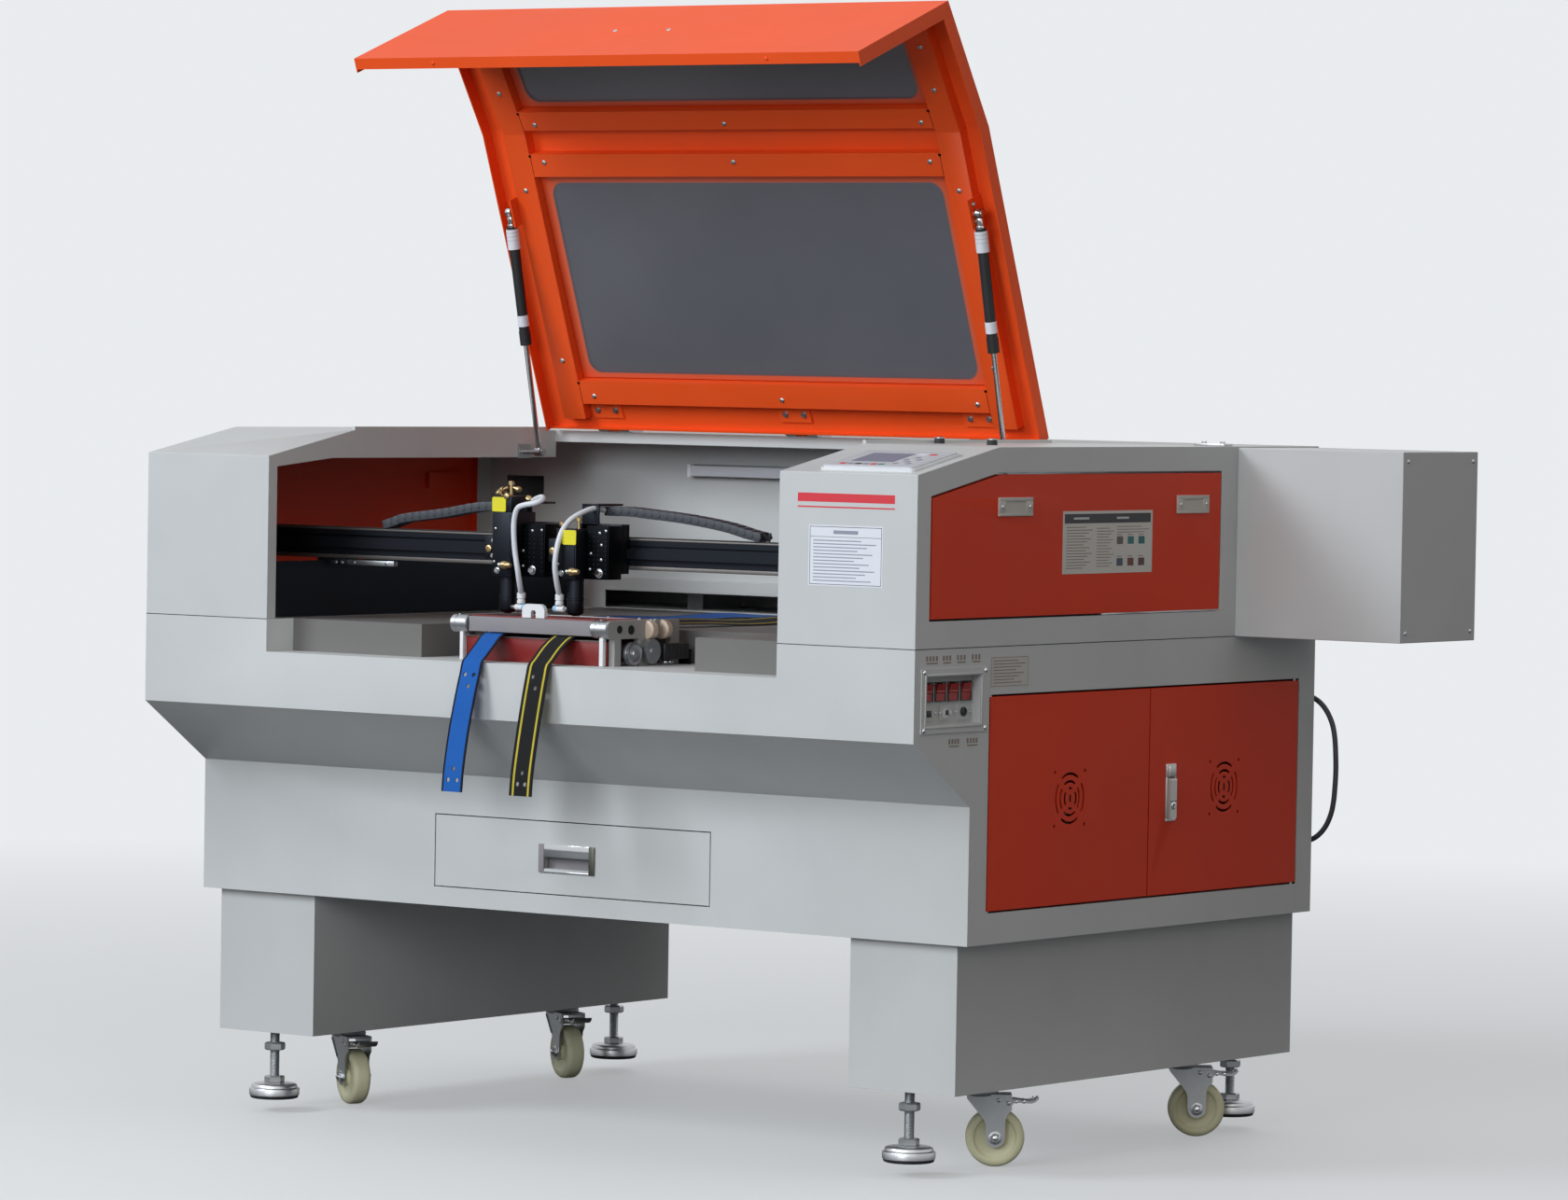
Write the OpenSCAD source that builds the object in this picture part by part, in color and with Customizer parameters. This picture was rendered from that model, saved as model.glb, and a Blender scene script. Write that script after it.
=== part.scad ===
// Laser cutting machine for webbing: a sheet metal body on castors, a tilting lid
// on gas struts, a gantry with two cutting heads, and a feeder for two straps.
// Every module is written with X from the left side, Y from the front and Z from the
// floor, and is then moved so that the origin is under the middle of the machine.

/* [Body] */
// Width of the body without the tube housing
body_w = 1400; // [1300:10:1700]
// Depth of the body
body_d = 1036; // [1000:10:1300]
// Thickness of the sheet metal
sheet = 2; // [1.5:0.1:2.4]
// Height of the seam between cabinet and upper body, which is the height of the bed
seam_z = 748; // [740:1:800]
// Height of the front edge of the top
front_z = 988; // [975:1:1000]
// Height of the flat top
top_z = 1026; // [1015:1:1060]
// Depth of the sloping part of the top
slope_d = 196; // [180:1:210]
// Width of each side of the top beside the lid
pod_w = 235; // [200:1:250]
// Distance from the front to the back wall of the chamber
chamber_d = 812; // [780:1:840]
// Height of the sill under the lid's front
sill_z = 700; // [690:1:710]
// Height of the lower edge of the front apron
apron_z = 618.5; // [600:1:630]
// How far the cabinet front stands back
undercut_d = 138; // [120:1:150]
// Height at which the undercut meets the cabinet front
undercut_z = 526; // [500:1:540]
// Height of the cabinet's underside
base_z = 332; // [300:1:350]
// Height of the plinths' underside
plinth_z = 120; // [118:1:140]
// Width of each plinth
plinth_w = 183; // [160:1:200]
// Distance of each plinth from the side
plinth_in = 25; // [10:1:40]

/* [Tube housing] */
// How far the housing stands out from the right side
housing_w = 282; // [200:1:360]
// Depth of the housing
housing_d = 210; // [180:1:215]
// Outer diameter of the laser tube
tube_od = 80; // [60:1:90]

/* [Lid] */
// Side gap between the lid and the top
lid_gap = 4.5; // [3:0.5:8]
// Length of the lid's flat panel
lid_flat = 481; // [460:1:500]
// Length of the lid's sloping panel
lid_slope = 207; // [190:1:215]
// Height of the lid's front panel
lid_front = 234; // [200:1:236]
// Depth of the lid's edge flange
lid_flange = 22; // [15:1:26]
// Opening angle of the lid
lid_open = 69.4; // [50:0.1:75]
// Width of the lid's side rails
rail_w = 42; // [30:1:50]
// Depth of the lid's rails and cross members
rail_h = 20; // [12:1:22]
// Diameter of the strut tubes
strut_tube_d = 16; // [12:1:18]
// Diameter of the strut rods
strut_rod_d = 8; // [6:1:10]

/* [Gantry] */
// Height of the underside of the beam
beam_z = 836; // [830:1:850]
// Height and depth of the beam
beam_size = 45; // [35:1:50]
// Distance from the front to the beam at rest
beam_y = 148; // [140:1:170]
// Height of the cutting nozzles' tips
nozzle_z = 768; // [767.5:0.5:775]

/* [Feeder] */
// Clear width between the feeder's side plates
feeder_w = 256; // [220:1:280]
// Diameter of the driven roller
roller_d = 36; // [28:1:38]
// Thickness of the webbing
webbing_t = 1.6; // [1.2:0.1:2]
// Width of the blue webbing
blue_w = 38; // [25:1:45]
// Width of the black webbing
black_w = 41; // [25:1:50]

/* [Cabinet] */
// Width of the drawer front
drawer_w = 503; // [420:1:560]
// Height of the drawer front
drawer_h = 104.5; // [90:0.5:120]
// Height of the drawer front's lower edge
drawer_z = 361.5; // [355:0.5:380]
// Depth of the drawer box
drawer_d = 420; // [300:10:480]
// Height of the side doors' lower edge
door_z = 378.5; // [370:0.5:400]
// Height of the side doors
door_h = 299.5; // [250:0.5:305]
// Depth of the pressed edge of doors and hatches
pan_d = 12; // [8:1:14]

/* [Castors and feet] */
// Diameter of the castor wheels
wheel_d = 84; // [70:1:88]
// Width of the castor wheels
wheel_w = 28; // [20:1:30]
// Distance from a castor's swivel axis to its axle
castor_trail = 23; // [15:1:28]
// Diameter of the levelling feet's pads
foot_d = 76; // [50:1:80]
// Travel of the levelling feet, down to the floor
foot_travel = 20; // [10:1:25]

/* [Fits] */
// Gap round a panel in its opening
panel_gap = 3; // [2.6:0.1:4]
// Running clearance round pins and rods
run_gap = 0.3; // [0.2:0.05:0.5]

/* [Hidden] */
$fn = 48;

spigot_len = 40;
strap_hang_y = -50;
origin_x = (body_w + housing_w) / 2;
origin_y = (body_d + spigot_len + 3 + strap_hang_y) / 2;
slope_a = atan((top_z - front_z) / slope_d);
open_x0 = pod_w;
open_x1 = body_w - pod_w;

// lid hinge axis
lid_proud = 10;
lid_start = 4;
hinge_r = 5;
hinge_y = lid_flat + lid_slope * cos(slope_a) - lid_proud + lid_start;
hinge_z = top_z + hinge_r;
rear_top_y = hinge_y + 2;
lid_x0 = open_x0 + lid_gap;
lid_x1 = open_x1 - lid_gap;

// struts: ball on the lid, measured closed, and ball on the body
strut_in = lid_gap + 26.5;
strut_eye_y = hinge_y - 362;
strut_eye_z = top_z - 28;
strut_foot_y = hinge_y - 78.2;
strut_foot_z = front_z + 5;
eye_r = 7;
eye_w = 10;

// gantry
x_rail_t = 8;
x_rail_h = 14;
y_rail_w = 14;
y_rail_h = 9;
y_plate_w = 16;
y_plate_x = pod_w - 16;
head_y = beam_y - x_rail_t;

// feeder
feeder_x = 566;
plate_t = 10;
roller_y = 139;
web_z = seam_z - 9;
roller_z = web_z - run_gap - roller_d / 2;

// hatches and doors
hatch_y0 = 33;
hatch_y1 = 770;
hatch_z0 = seam_z + 38;
hatch_z1 = front_z + 2.5;
hatch_corner_y = 201;
hatch_corner_z = front_z - 30;
pivot_in = 5;
pin_d = 5;
door_y = [185, 591, 991];

// switch plate
switch_y0 = 15;
switch_y1 = 175;
switch_z0 = 631.5;
switch_z1 = 721;
recess_y0 = 25;
recess_y1 = 159;
recess_z0 = 641;
recess_z1 = 712;
recess_d = 16;
rocker_y = [46.4, 77.2, 108, 138.8];
socket_y = [52, 93, 135];
rocker_z = 688;
rocker_w = 20.4;
rocker_h = 23.4;
rocker_tilt = 10;
bezel_w = 26.8;
bezel_h = 27;
socket_w = 28;
socket_z = [648, 669];

// castors and feet
leg_x = plinth_in + plinth_w / 2;
castor_y = [344, 871];
foot_y = [172, 1006];
castor_turn = [-28.8, 36];
plate_z = plinth_z - 3;
fork_gap = wheel_w + 6;
fork_t = 3;
axle_r = 4;
brake_x = castor_trail + 18;
brake_z = wheel_d + 8;

module place() translate([-origin_x, -origin_y, 0]) children();
module box(x0, x1, y0, y1, z0, z1) translate([x0, y0, z0]) cube([x1 - x0, y1 - y0, z1 - z0]);
module yz(x0, x1) translate([x0, 0, 0]) rotate([90, 0, 90]) linear_extrude(x1 - x0) children();
module xz(y0, y1) translate([0, y1, 0]) rotate([90, 0, 0]) linear_extrude(y1 - y0) children();
module across(x0, x1, y, z, r) translate([x0, y, z]) rotate([0, 90, 0]) cylinder(r = r, h = x1 - x0);
module along(y0, y1, x, z, r) translate([x, y0, z]) rotate([-90, 0, 0]) cylinder(r = r, h = y1 - y0);
module upright(z0, z1, x, y, r) translate([x, y, z0]) cylinder(r = r, h = z1 - z0);
module other_side() translate([body_w, 0, 0]) mirror([1, 0, 0]) children();
module both_sides() {
    children();
    other_side() children();
}

// ---- upper body -----------------------------------------------------------
function hatch_outline(g) = [[hatch_y0 + g, hatch_z0 + g], [hatch_y1 - g, hatch_z0 + g],
                             [hatch_y1 - g, hatch_z1 - g], [hatch_corner_y + g * 0.2, hatch_z1 - g],
                             [hatch_y0 + g, hatch_corner_z - g * 0.8]];

module upper_side() {
    yz(0, sheet) difference() {
        polygon([[0, seam_z], [0, front_z], [slope_d, top_z], [body_d, top_z], [body_d, seam_z]]);
        polygon(hatch_outline(0));
    }
    box(0, pod_w, 0, sheet, seam_z, front_z);
    yz(0, pod_w) polygon([[0, front_z - sheet], [0, front_z], [slope_d, top_z], [body_d, top_z],
                          [body_d, top_z - sheet], [slope_d, top_z - sheet]]);
    yz(pod_w - sheet, pod_w) polygon([[0, front_z - 18], [0, front_z], [slope_d, top_z],
                                      [rear_top_y + sheet, top_z],
                                      [rear_top_y + sheet, top_z - 42],
                                      [slope_d - 50, top_z - 42]]);
    box(pod_w - sheet, pod_w, 0, 20, seam_z, front_z - 10);
    box(pod_w - 6, pod_w, slope_d, rear_top_y - 15, top_z, top_z + 5);
    box(0, pod_w - sheet, 0, body_d, seam_z, seam_z + sheet);
}

module upper_body() color("#AEB4BC") place() difference() {
    union() {
        both_sides() upper_side();
        box(pod_w, body_w - pod_w, rear_top_y, body_d, top_z - sheet, top_z);
        box(pod_w, body_w - pod_w, rear_top_y, rear_top_y + sheet, top_z - 18, top_z);
        box(0, body_w, body_d - sheet, body_d, seam_z, top_z);
        box(0, body_w, chamber_d, chamber_d + sheet, seam_z + 29, top_z);
        box(0, pod_w, chamber_d, chamber_d + sheet, seam_z, top_z);
        box(body_w - pod_w, body_w, chamber_d, chamber_d + sheet, seam_z, top_z);
        box(pod_w + 6, body_w - pod_w - 6, chamber_d - 12, chamber_d, seam_z + 29, seam_z + 49);
        box(pod_w - sheet, body_w - pod_w + sheet, chamber_d, body_d, seam_z, seam_z + sheet);
    }
    box(35, 109, chamber_d - 1, chamber_d + sheet + 1, front_z - 73, front_z - 37);
    across(body_w - 10, body_w + 10, tube_y, tube_z, tube_od / 2 + 20);
}

// ---- cabinet --------------------------------------------------------------
module plinth() difference() {
    box(plinth_in, plinth_in + plinth_w, undercut_d + 13, body_d - 9, plinth_z, base_z);
    box(plinth_in + sheet, plinth_in + plinth_w - sheet, undercut_d + 13 + sheet, body_d - 9 - sheet,
        plinth_z + 3, base_z + 1);
}

module cabinet_side() {
    yz(0, sheet) polygon([[0, apron_z], [0, seam_z], [body_d, seam_z], [body_d, base_z],
                          [undercut_d, base_z], [undercut_d, undercut_z]]);
    box(pod_w - sheet, pod_w, sheet, chamber_d + sheet, sill_z, seam_z);
    plinth();
}

module cabinet() color("#A8ADB5") place() difference() {
    union() {
        both_sides() cabinet_side();
        box(0, body_w, 0, sheet, apron_z, sill_z);
        both_sides() box(0, pod_w, 0, sheet, sill_z, seam_z);
        yz(0, body_w) polygon([[0, apron_z], [0, apron_z + sheet], [undercut_d, undercut_z + sheet],
                               [undercut_d, undercut_z]]);
        box(0, body_w, undercut_d, undercut_d + sheet, base_z, undercut_z + sheet);
        box(0, body_w, undercut_d, body_d, base_z, base_z + sheet);
        box(0, body_w, body_d - sheet, body_d, base_z, seam_z);
        box(pod_w - sheet, body_w - pod_w + sheet, 0, chamber_d + sheet, sill_z - sheet, sill_z);
        box(pod_w, body_w - pod_w, chamber_d, chamber_d + sheet, sill_z, seam_z);
        for (z = [door_z - panel_gap - sheet, door_z + door_h + panel_gap])
            box(body_w - pan_d - 6, body_w, door_y[0] - panel_gap - sheet, door_y[2] + panel_gap + sheet,
                z, z + sheet);
    }
    box(body_w - sheet - 1, body_w + 1, door_y[0] - panel_gap, door_y[2] + panel_gap,
        door_z - panel_gap, door_z + door_h + panel_gap);
    box(body_w - sheet - 1, body_w + 1, recess_y0 - 1, recess_y1 + 1, recess_z0 - 1, recess_z1 + 1);
    box(body_w / 2 - drawer_w / 2 - 1.5, body_w / 2 + drawer_w / 2 + 1.5, undercut_d - 1,
        undercut_d + sheet + 1, drawer_z - 1.5, drawer_z + drawer_h + 1.5);
    both_sides() {
        box(leg_x - 35, leg_x + 35, 480, 680, base_z - 1, base_z + sheet + 1);
        for (y = foot_y) upright(plinth_z - 1, plinth_z + 4, leg_x, y, foot_stem_r + 0.4);
    }
    along(body_d - sheet - 1, body_d + 1, body_w / 2, spigot_z, spigot_r - sheet);
}

module table_outline(g) polygon([[pod_w + 1 + g, table_y + g], [notch_x0 - g, table_y + g],
    [notch_x0 - g, notch_y + g], [notch_x1 + g, notch_y + g], [notch_x1 + g, table_y + g],
    [body_w - pod_w - 1 - g, table_y + g], [body_w - pod_w - 1 - g, chamber_d - 1 - g],
    [pod_w + 1 + g, chamber_d - 1 - g]]);
table_y = 60;
notch_x0 = 480;
notch_x1 = body_w - 422;
notch_y = 250;

module work_table() color("#D9DCDF") place() {
    translate([0, 0, sill_z]) linear_extrude(seam_z - sill_z - sheet) difference() {
        table_outline(0);
        table_outline(sheet);
    }
    translate([0, 0, seam_z - sheet]) linear_extrude(sheet) table_outline(0);
}

// ---- tube housing and laser tube ------------------------------------------
tube_y = chamber_d + 105;
tube_z = seam_z + 132;

module tube_cover() color("#A8ADB5") place() difference() {
    box(body_w, body_w + housing_w, chamber_d, chamber_d + housing_d, seam_z, top_z - 2);
    box(body_w - 1, body_w + housing_w - sheet, chamber_d + sheet, chamber_d + housing_d - sheet,
        seam_z + sheet, top_z - 2 - sheet);
}

module laser_tube() color("#C9E2EA") place() {
    across(130, body_w + housing_w - 60, tube_y, tube_z, tube_od / 2);
    across(100, 130, tube_y, tube_z, tube_od / 4);
    across(body_w + housing_w - 60, body_w + housing_w - 40, tube_y, tube_z, tube_od / 4);
}

// ---- fittings on the body --------------------------------------------------
knuckle = 20;

module body_hinge(x) {
    box(x - 30, x + 30, hinge_y + hinge_r + 1, hinge_y + 32, top_z, top_z + 2.5);
    for (s = [-1, 1]) {
        across(x + s * knuckle - 9.5, x + s * knuckle + 9.5, hinge_y, hinge_z, hinge_r);
        box(x + s * knuckle - 9.5, x + s * knuckle + 9.5, hinge_y, hinge_y + hinge_r + 2, top_z,
            top_z + 2.5);
    }
    across(x - 12, x + 12, hinge_y, hinge_z, 2.5);
}

module hatch_pins() {
    for (y = [hatch_y0, hatch_y1 - panel_gap - 7])
        along(y, y + panel_gap + 7, pan_pivot_x, hatch_z0 + panel_gap + pivot_in, pin_d / 2);
}
pan_pivot_x = pivot_in;

module body_fittings() color("#8E9398") place() {
    for (x = hinge_x) body_hinge(x);
    both_sides() {
        // strut foot: plate on the inside lip and its ball stud
        box(pod_w, pod_w + 3, strut_foot_y - 14, strut_foot_y + 14, strut_foot_z - 10, strut_foot_z + 12);
        across(pod_w + 3, pod_w + strut_in - eye_w / 2 - 3, strut_foot_y, strut_foot_z, 4);
        // laser tube clamp
        translate([pod_w + 120, 0, 0]) difference() {
            box(0, 30, tube_y - 50, tube_y + 50, seam_z + sheet, tube_z);
            across(-1, 31, tube_y, tube_z, tube_od / 2 + run_gap);
        }
        // drawer runner
        translate([body_w / 2 - drawer_w / 2 + 4, 0, 0]) {
            y0 = undercut_d + sheet + 2;
            y1 = undercut_d + drawer_d + 40;
            box(0, sheet, y0, y1, base_z + sheet, drawer_z + 60);
            box(0, 14, y0, y1, drawer_z + 4, drawer_z + 6 - run_gap);
        }
        hatch_pins();
    }
    // door pivot pins
    for (y = [door_y[0] + pivot_in, door_y[2] - pivot_in]) {
        upright(door_z - panel_gap, door_z + 8, body_w - pivot_in, y, pin_d / 2);
        upright(door_z + door_h - 8, door_z + door_h + panel_gap, body_w - pivot_in, y, pin_d / 2);
    }
    // rubber stops for the open lid
    upright(top_z, top_z + 9, body_w - pod_w + 18, 360, 7);
    upright(top_z, top_z + 9, body_w - 112, 340, 7);
}

module underside_fixings() color("#B9BCC0") place() both_sides() for (y = castor_y) {
    box(leg_x - 31, leg_x + 31, y - 31, y + 31, plate_z, plinth_z);
    upright(plate_z - 16, plate_z, leg_x, y, 6);
}

beside_drawer = [23.5, 28.5];

module electrics() color("#C8CDD2") place() {
    // lamp bar on the chamber's back wall
    box(pod_w + 172, body_w - pod_w - 172, chamber_d - 22, chamber_d, front_z - 31, front_z - 11);
    // power supply and motion controller on the cabinet floor, to each side of the drawer
    supply_x = body_w / 2 + drawer_w / 2 + beside_drawer[1];
    controller_x = body_w / 2 - drawer_w / 2 - beside_drawer[0];
    box(supply_x, supply_x + 200, 700, 960, base_z + sheet, base_z + sheet + 160);
    box(controller_x - 170, controller_x, 300, 520, base_z + sheet, base_z + sheet + 45);
}

module y_rails() color("#3A3D42") place() both_sides() {
    box(y_plate_x, y_plate_x + y_plate_w, 20, 740, seam_z + sheet, seam_z + 75);
    box(y_plate_x + 1, y_plate_x + 1 + y_rail_w, 20, 740, seam_z + 75, seam_z + 75 + y_rail_h);
}

// ---- rear fittings and cable ------------------------------------------------
spigot_r = 75;
spigot_z = 560;
gland_x = body_w - 50;
gland_z = [652, 435];
gland_y = body_d + 20;

module rear_fittings() color("#8E9398") place() {
    difference() {
        union() {
            along(body_d, body_d + 3, body_w / 2, spigot_z, spigot_r + 20);
            along(body_d, body_d + 3 + spigot_len, body_w / 2, spigot_z, spigot_r);
        }
        along(body_d - 1, body_d + 4 + spigot_len, body_w / 2, spigot_z, spigot_r - sheet);
    }
    for (z = gland_z) {
        box(gland_x, gland_x + 14, body_d, gland_y + 10, z - 10, z + 10);
        across(gland_x + 14, gland_x + 20, gland_y, z, 8);
    }
}

cable_d = 8;
cable_points = [[1370.4, 1056, 652], [1382, 1056, 651], [1394, 1056, 646], [1405, 1056, 637],
                [1414, 1056, 625], [1421, 1056, 610], [1425, 1056, 592], [1427, 1056, 570],
                [1428, 1056, 544], [1427, 1056, 518], [1425, 1056, 496], [1421, 1056, 478],
                [1414, 1056, 462], [1405, 1056, 450], [1394, 1056, 441], [1382, 1056, 436],
                [1370.4, 1056, 435]];

function unit(v) = v / norm(v);
function path_dir(p, i) = unit(p[min(i + 1, len(p) - 1)] - p[max(i - 1, 0)]);
// tube of n sides along points that stay in a plane facing "side"
module tube_along(p, d, n, side) {
    rings = [for (i = [0:len(p) - 1]) let (t = path_dir(p, i), u = unit(cross(side, t)))
             for (k = [0:n - 1]) p[i] + d / 2 * (cos(360 * k / n) * u + sin(360 * k / n) * side)];
    m = len(p);
    polyhedron(rings, concat([[for (k = [0:n - 1]) k]], [[for (k = [n - 1:-1:0]) (m - 1) * n + k]],
        [for (i = [0:m - 2]) for (k = [0:n - 1])
         [i * n + k, (i + 1) * n + k, (i + 1) * n + (k + 1) % n, i * n + (k + 1) % n]]));
}

module cable_loop() color("#3A3B3E") place()
    translate([body_w - 1400, body_d - 1036, 0]) tube_along(cable_points, cable_d, 10, [0, 1, 0]);

// ---- switch plate -----------------------------------------------------------
module bezels_and_sockets() {
    for (y = rocker_y) box(body_w - recess_d, body_w - recess_d + 5, y - bezel_w / 2, y + bezel_w / 2,
                           rocker_z - bezel_h / 2, rocker_z + bezel_h / 2);
    for (y = socket_y) box(body_w - recess_d, body_w - recess_d + 4, y - socket_w / 2,
                           y + socket_w / 2, socket_z[0], socket_z[1]);
}

module switch_plate() color("#B7BABD") place() difference() {
    union() {
        box(body_w, body_w + sheet, switch_y0, switch_y1, switch_z0, switch_z1);
        box(body_w - recess_d, body_w, recess_y0, recess_y1, recess_z0, recess_z1);
        bezels_and_sockets();
    }
    difference() {
        box(body_w - recess_d + sheet, body_w + sheet + 1, recess_y0 + sheet, recess_y1 - sheet,
            recess_z0 + sheet, recess_z1 - sheet);
        bezels_and_sockets();
    }
    for (y = rocker_y) box(body_w - recess_d - 1, body_w - recess_d + 6, y - rocker_w / 2 - run_gap,
                           y + rocker_w / 2 + run_gap, rocker_z - 12.6, rocker_z + 12.6);
}

module rocker(i) color("#B02018") place()
    translate([body_w - recess_d + 3, 0, rocker_z]) rotate([0, rocker_tilt, 0])
    translate([0, rocker_y[i] + rocker_w / 2, 0]) rotate([90, 0, 0]) linear_extrude(rocker_w) {
        polygon([[-3, -rocker_h / 2 + 1], [5.2, -rocker_h / 2], [3, 0], [5.2, rocker_h / 2],
                 [-3, rocker_h / 2 - 1]]);
        circle(r = 4);
    }

// ---- control panel ----------------------------------------------------------
module control_panel() color("#55585C") place() translate([0, 14, front_z + 14 * tan(slope_a) + 0.02])
    rotate([slope_a, 0, 0]) box(body_w - 172, body_w - 20, 0, 118, 0, 7);

// ---- lid --------------------------------------------------------------------
// s runs from the hinge towards the front, h is the depth below the outer skin
function flat_pt(s, h) = [hinge_y - lid_start - s, top_z - h];
function slope_pt(s, h) = [hinge_y - lid_start - lid_flat - s * cos(slope_a) + h * sin(slope_a),
                           top_z - s * sin(slope_a) - h * cos(slope_a)];
function front_pt(s, h) = slope_pt(lid_slope, 0) + [h, -s];
// corner of the inner face where the slope meets the flat panel and the front panel
function bend_in(h) = flat_pt(lid_flat, h) + [h * tan(slope_a / 2), 0];
function front_in(h) = slope_pt(lid_slope, 0) + [h, h * tan(slope_a) - h / cos(slope_a)];

module opened() translate([0, hinge_y, hinge_z]) rotate([-lid_open, 0, 0])
    translate([0, -hinge_y, -hinge_z]) children();
module lid_band(h0, h1, end) polygon([flat_pt(0, h0), flat_pt(lid_flat, 0) + [h0 * tan(slope_a / 2), -h0],
    front_in(h0), front_pt(end, h0), front_pt(end, h1), front_in(h1), bend_in(h1), flat_pt(0, h1)]);
// a bar between two lengths on the flat or the sloping panel
module flat_bar(x0, x1, s0, s1, h0, h1) yz(x0, x1)
    polygon([flat_pt(s0, h0), flat_pt(s1, h0), flat_pt(s1, h1), flat_pt(s0, h1)]);
module slope_bar(x0, x1, s0, s1, h0, h1) yz(x0, x1)
    polygon([slope_pt(s0, h0), slope_pt(s1, h0), slope_pt(s1, h1), slope_pt(s0, h1)]);

module window_cut(centre, tilt, len) translate([body_w / 2, centre[0], centre[1]]) rotate([tilt, 0, 0])
    translate([0, 0, -sheet - 1]) linear_extrude(sheet + 2) {
        w = body_w - 2 * window_x;
        square([w - 2 * window_r, len], center = true);
        square([w, len - 2 * window_r], center = true);
        for (x = [-1, 1], y = [-1, 1]) translate([x * (w / 2 - window_r), y * (len / 2 - window_r)])
            circle(r = window_r);
    }

rail_x = lid_x0 + 38.5;
hinge_pad = 29;
hinge_from_rail = hinge_pad + 3.5;
hinge_x = [rail_x + rail_w + hinge_from_rail, body_w / 2 + 9.2,
           body_w - rail_x - rail_w - hinge_from_rail];
window_x = lid_x0 + 99;
window_s = [92, 398];
window_front_s = [51, 165];
window_r = 22;
bar_flat = [[45, 82], [412, 448]];
bar_slope = [9, 41];

module lid_shell() color("#E04A1E") place() opened() difference() {
    union() {
        yz(lid_x0, lid_x1) lid_band(0, sheet, lid_front);
        both_sides() yz(lid_x0, lid_x0 + sheet) lid_band(0, lid_flange, lid_front);
        flat_bar(lid_x0, lid_x1, 0, sheet, 0, 12);
        yz(lid_x0, lid_x1) polygon([front_pt(lid_front - sheet, 0), front_pt(lid_front, 0),
                                    front_pt(lid_front, 17), front_pt(lid_front - sheet, 17)]);
        both_sides() {
            flat_bar(rail_x, rail_x + rail_w, 20, lid_flat, sheet, rail_h);
            slope_bar(rail_x, rail_x + rail_w, 2, lid_slope - 24, sheet, rail_h);
        }
        for (b = bar_flat) flat_bar(rail_x + rail_w, body_w - rail_x - rail_w, b[0], b[1], sheet, rail_h);
        slope_bar(rail_x + rail_w, body_w - rail_x - rail_w, bar_slope[0], bar_slope[1], sheet, rail_h);
    }
    window_cut(flat_pt((window_s[0] + window_s[1]) / 2, 0), 0, window_s[1] - window_s[0]);
    window_cut(slope_pt((window_front_s[0] + window_front_s[1]) / 2, 0), slope_a,
               window_front_s[1] - window_front_s[0]);
}

module lid_windows() color("#5A5C62") place() opened() {
    flat_bar(rail_x + rail_w + 1, body_w - rail_x - rail_w - 1, bar_flat[0][1] + 1, bar_flat[1][0] - 1,
             sheet + 0.05, sheet + 4);
    slope_bar(rail_x + rail_w + 1, body_w - rail_x - rail_w - 1, bar_slope[1] + 1, lid_slope - 26,
              sheet + 0.05, sheet + 4);
}

module lid_fittings() color("#9A9EA3") place() opened() {
    for (x = hinge_x) {
        difference() {
            union() {
                box(x - 30, x + 30, hinge_y - 34, hinge_y - hinge_r - 1, top_z, top_z + 2.5);
                box(x - knuckle / 2, x + knuckle / 2, hinge_y - 8, hinge_y, top_z, top_z + 2.5);
                across(x - knuckle / 2, x + knuckle / 2, hinge_y, hinge_z, hinge_r);
            }
            across(x - knuckle / 2 - 1, x + knuckle / 2 + 1, hinge_y, hinge_z, 2.5 + run_gap);
        }
        box(x - hinge_pad, x + hinge_pad, hinge_y - lid_start - 42, hinge_y - lid_start - 17,
            top_z - sheet - 3, top_z - sheet);
    }
    both_sides() {
        // strut bracket on the rail and its ball stud
        box(rail_x - 2.5, rail_x, strut_eye_y - 22, strut_eye_y + 22, strut_eye_z - 9, top_z - sheet - 2);
        across(pod_w + strut_in - eye_w / 2 - 2, rail_x - 2.5, strut_eye_y, strut_eye_z, 4);
    }
}

// ---- gas struts ---------------------------------------------------------------
function turned(p, a) = [p[0] * cos(a) - p[1] * sin(a), p[0] * sin(a) + p[1] * cos(a)];
strut_top = [hinge_y, hinge_z] + turned([strut_eye_y - hinge_y, strut_eye_z - hinge_z], -lid_open);
strut_vec = [strut_foot_y, strut_foot_z] - strut_top;
strut_len = norm(strut_vec);
strut_a = atan2(strut_vec[1], strut_vec[0]);
strut_tube_len = 205;

// geometry along +Y from the lid's ball, turned onto the strut's line
module on_strut() translate([pod_w + strut_in, strut_top[0], strut_top[1]]) rotate([strut_a, 0, 0])
    children();

module strut_tube() on_strut() difference() {
    union() {
        across(-eye_w / 2, eye_w / 2, 0, 0, eye_r);
        along(4, 24, 0, 0, 4.5);
        along(22, strut_tube_len, 0, 0, strut_tube_d / 2);
    }
    across(-eye_w, eye_w, 0, 0, 4 + run_gap);
    along(30, strut_tube_len + 1, 0, 0, strut_rod_d / 2 + run_gap);
}

module strut_rod() on_strut() difference() {
    union() {
        along(strut_tube_len - 25, strut_len - 4, 0, 0, strut_rod_d / 2);
        across(-eye_w / 2, eye_w / 2, strut_len, 0, eye_r);
    }
    across(-eye_w, eye_w, strut_len, 0, 4 + run_gap);
}

// ---- hatches, doors and latches ------------------------------------------------
// a pressed panel: skin and turned-in edge, outline given by a child module
module hatch_pan() {
    yz(0, sheet) polygon(hatch_outline(panel_gap));
    yz(sheet, pan_d) difference() {
        polygon(hatch_outline(panel_gap));
        polygon(hatch_outline(panel_gap + sheet));
    }
}

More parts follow.
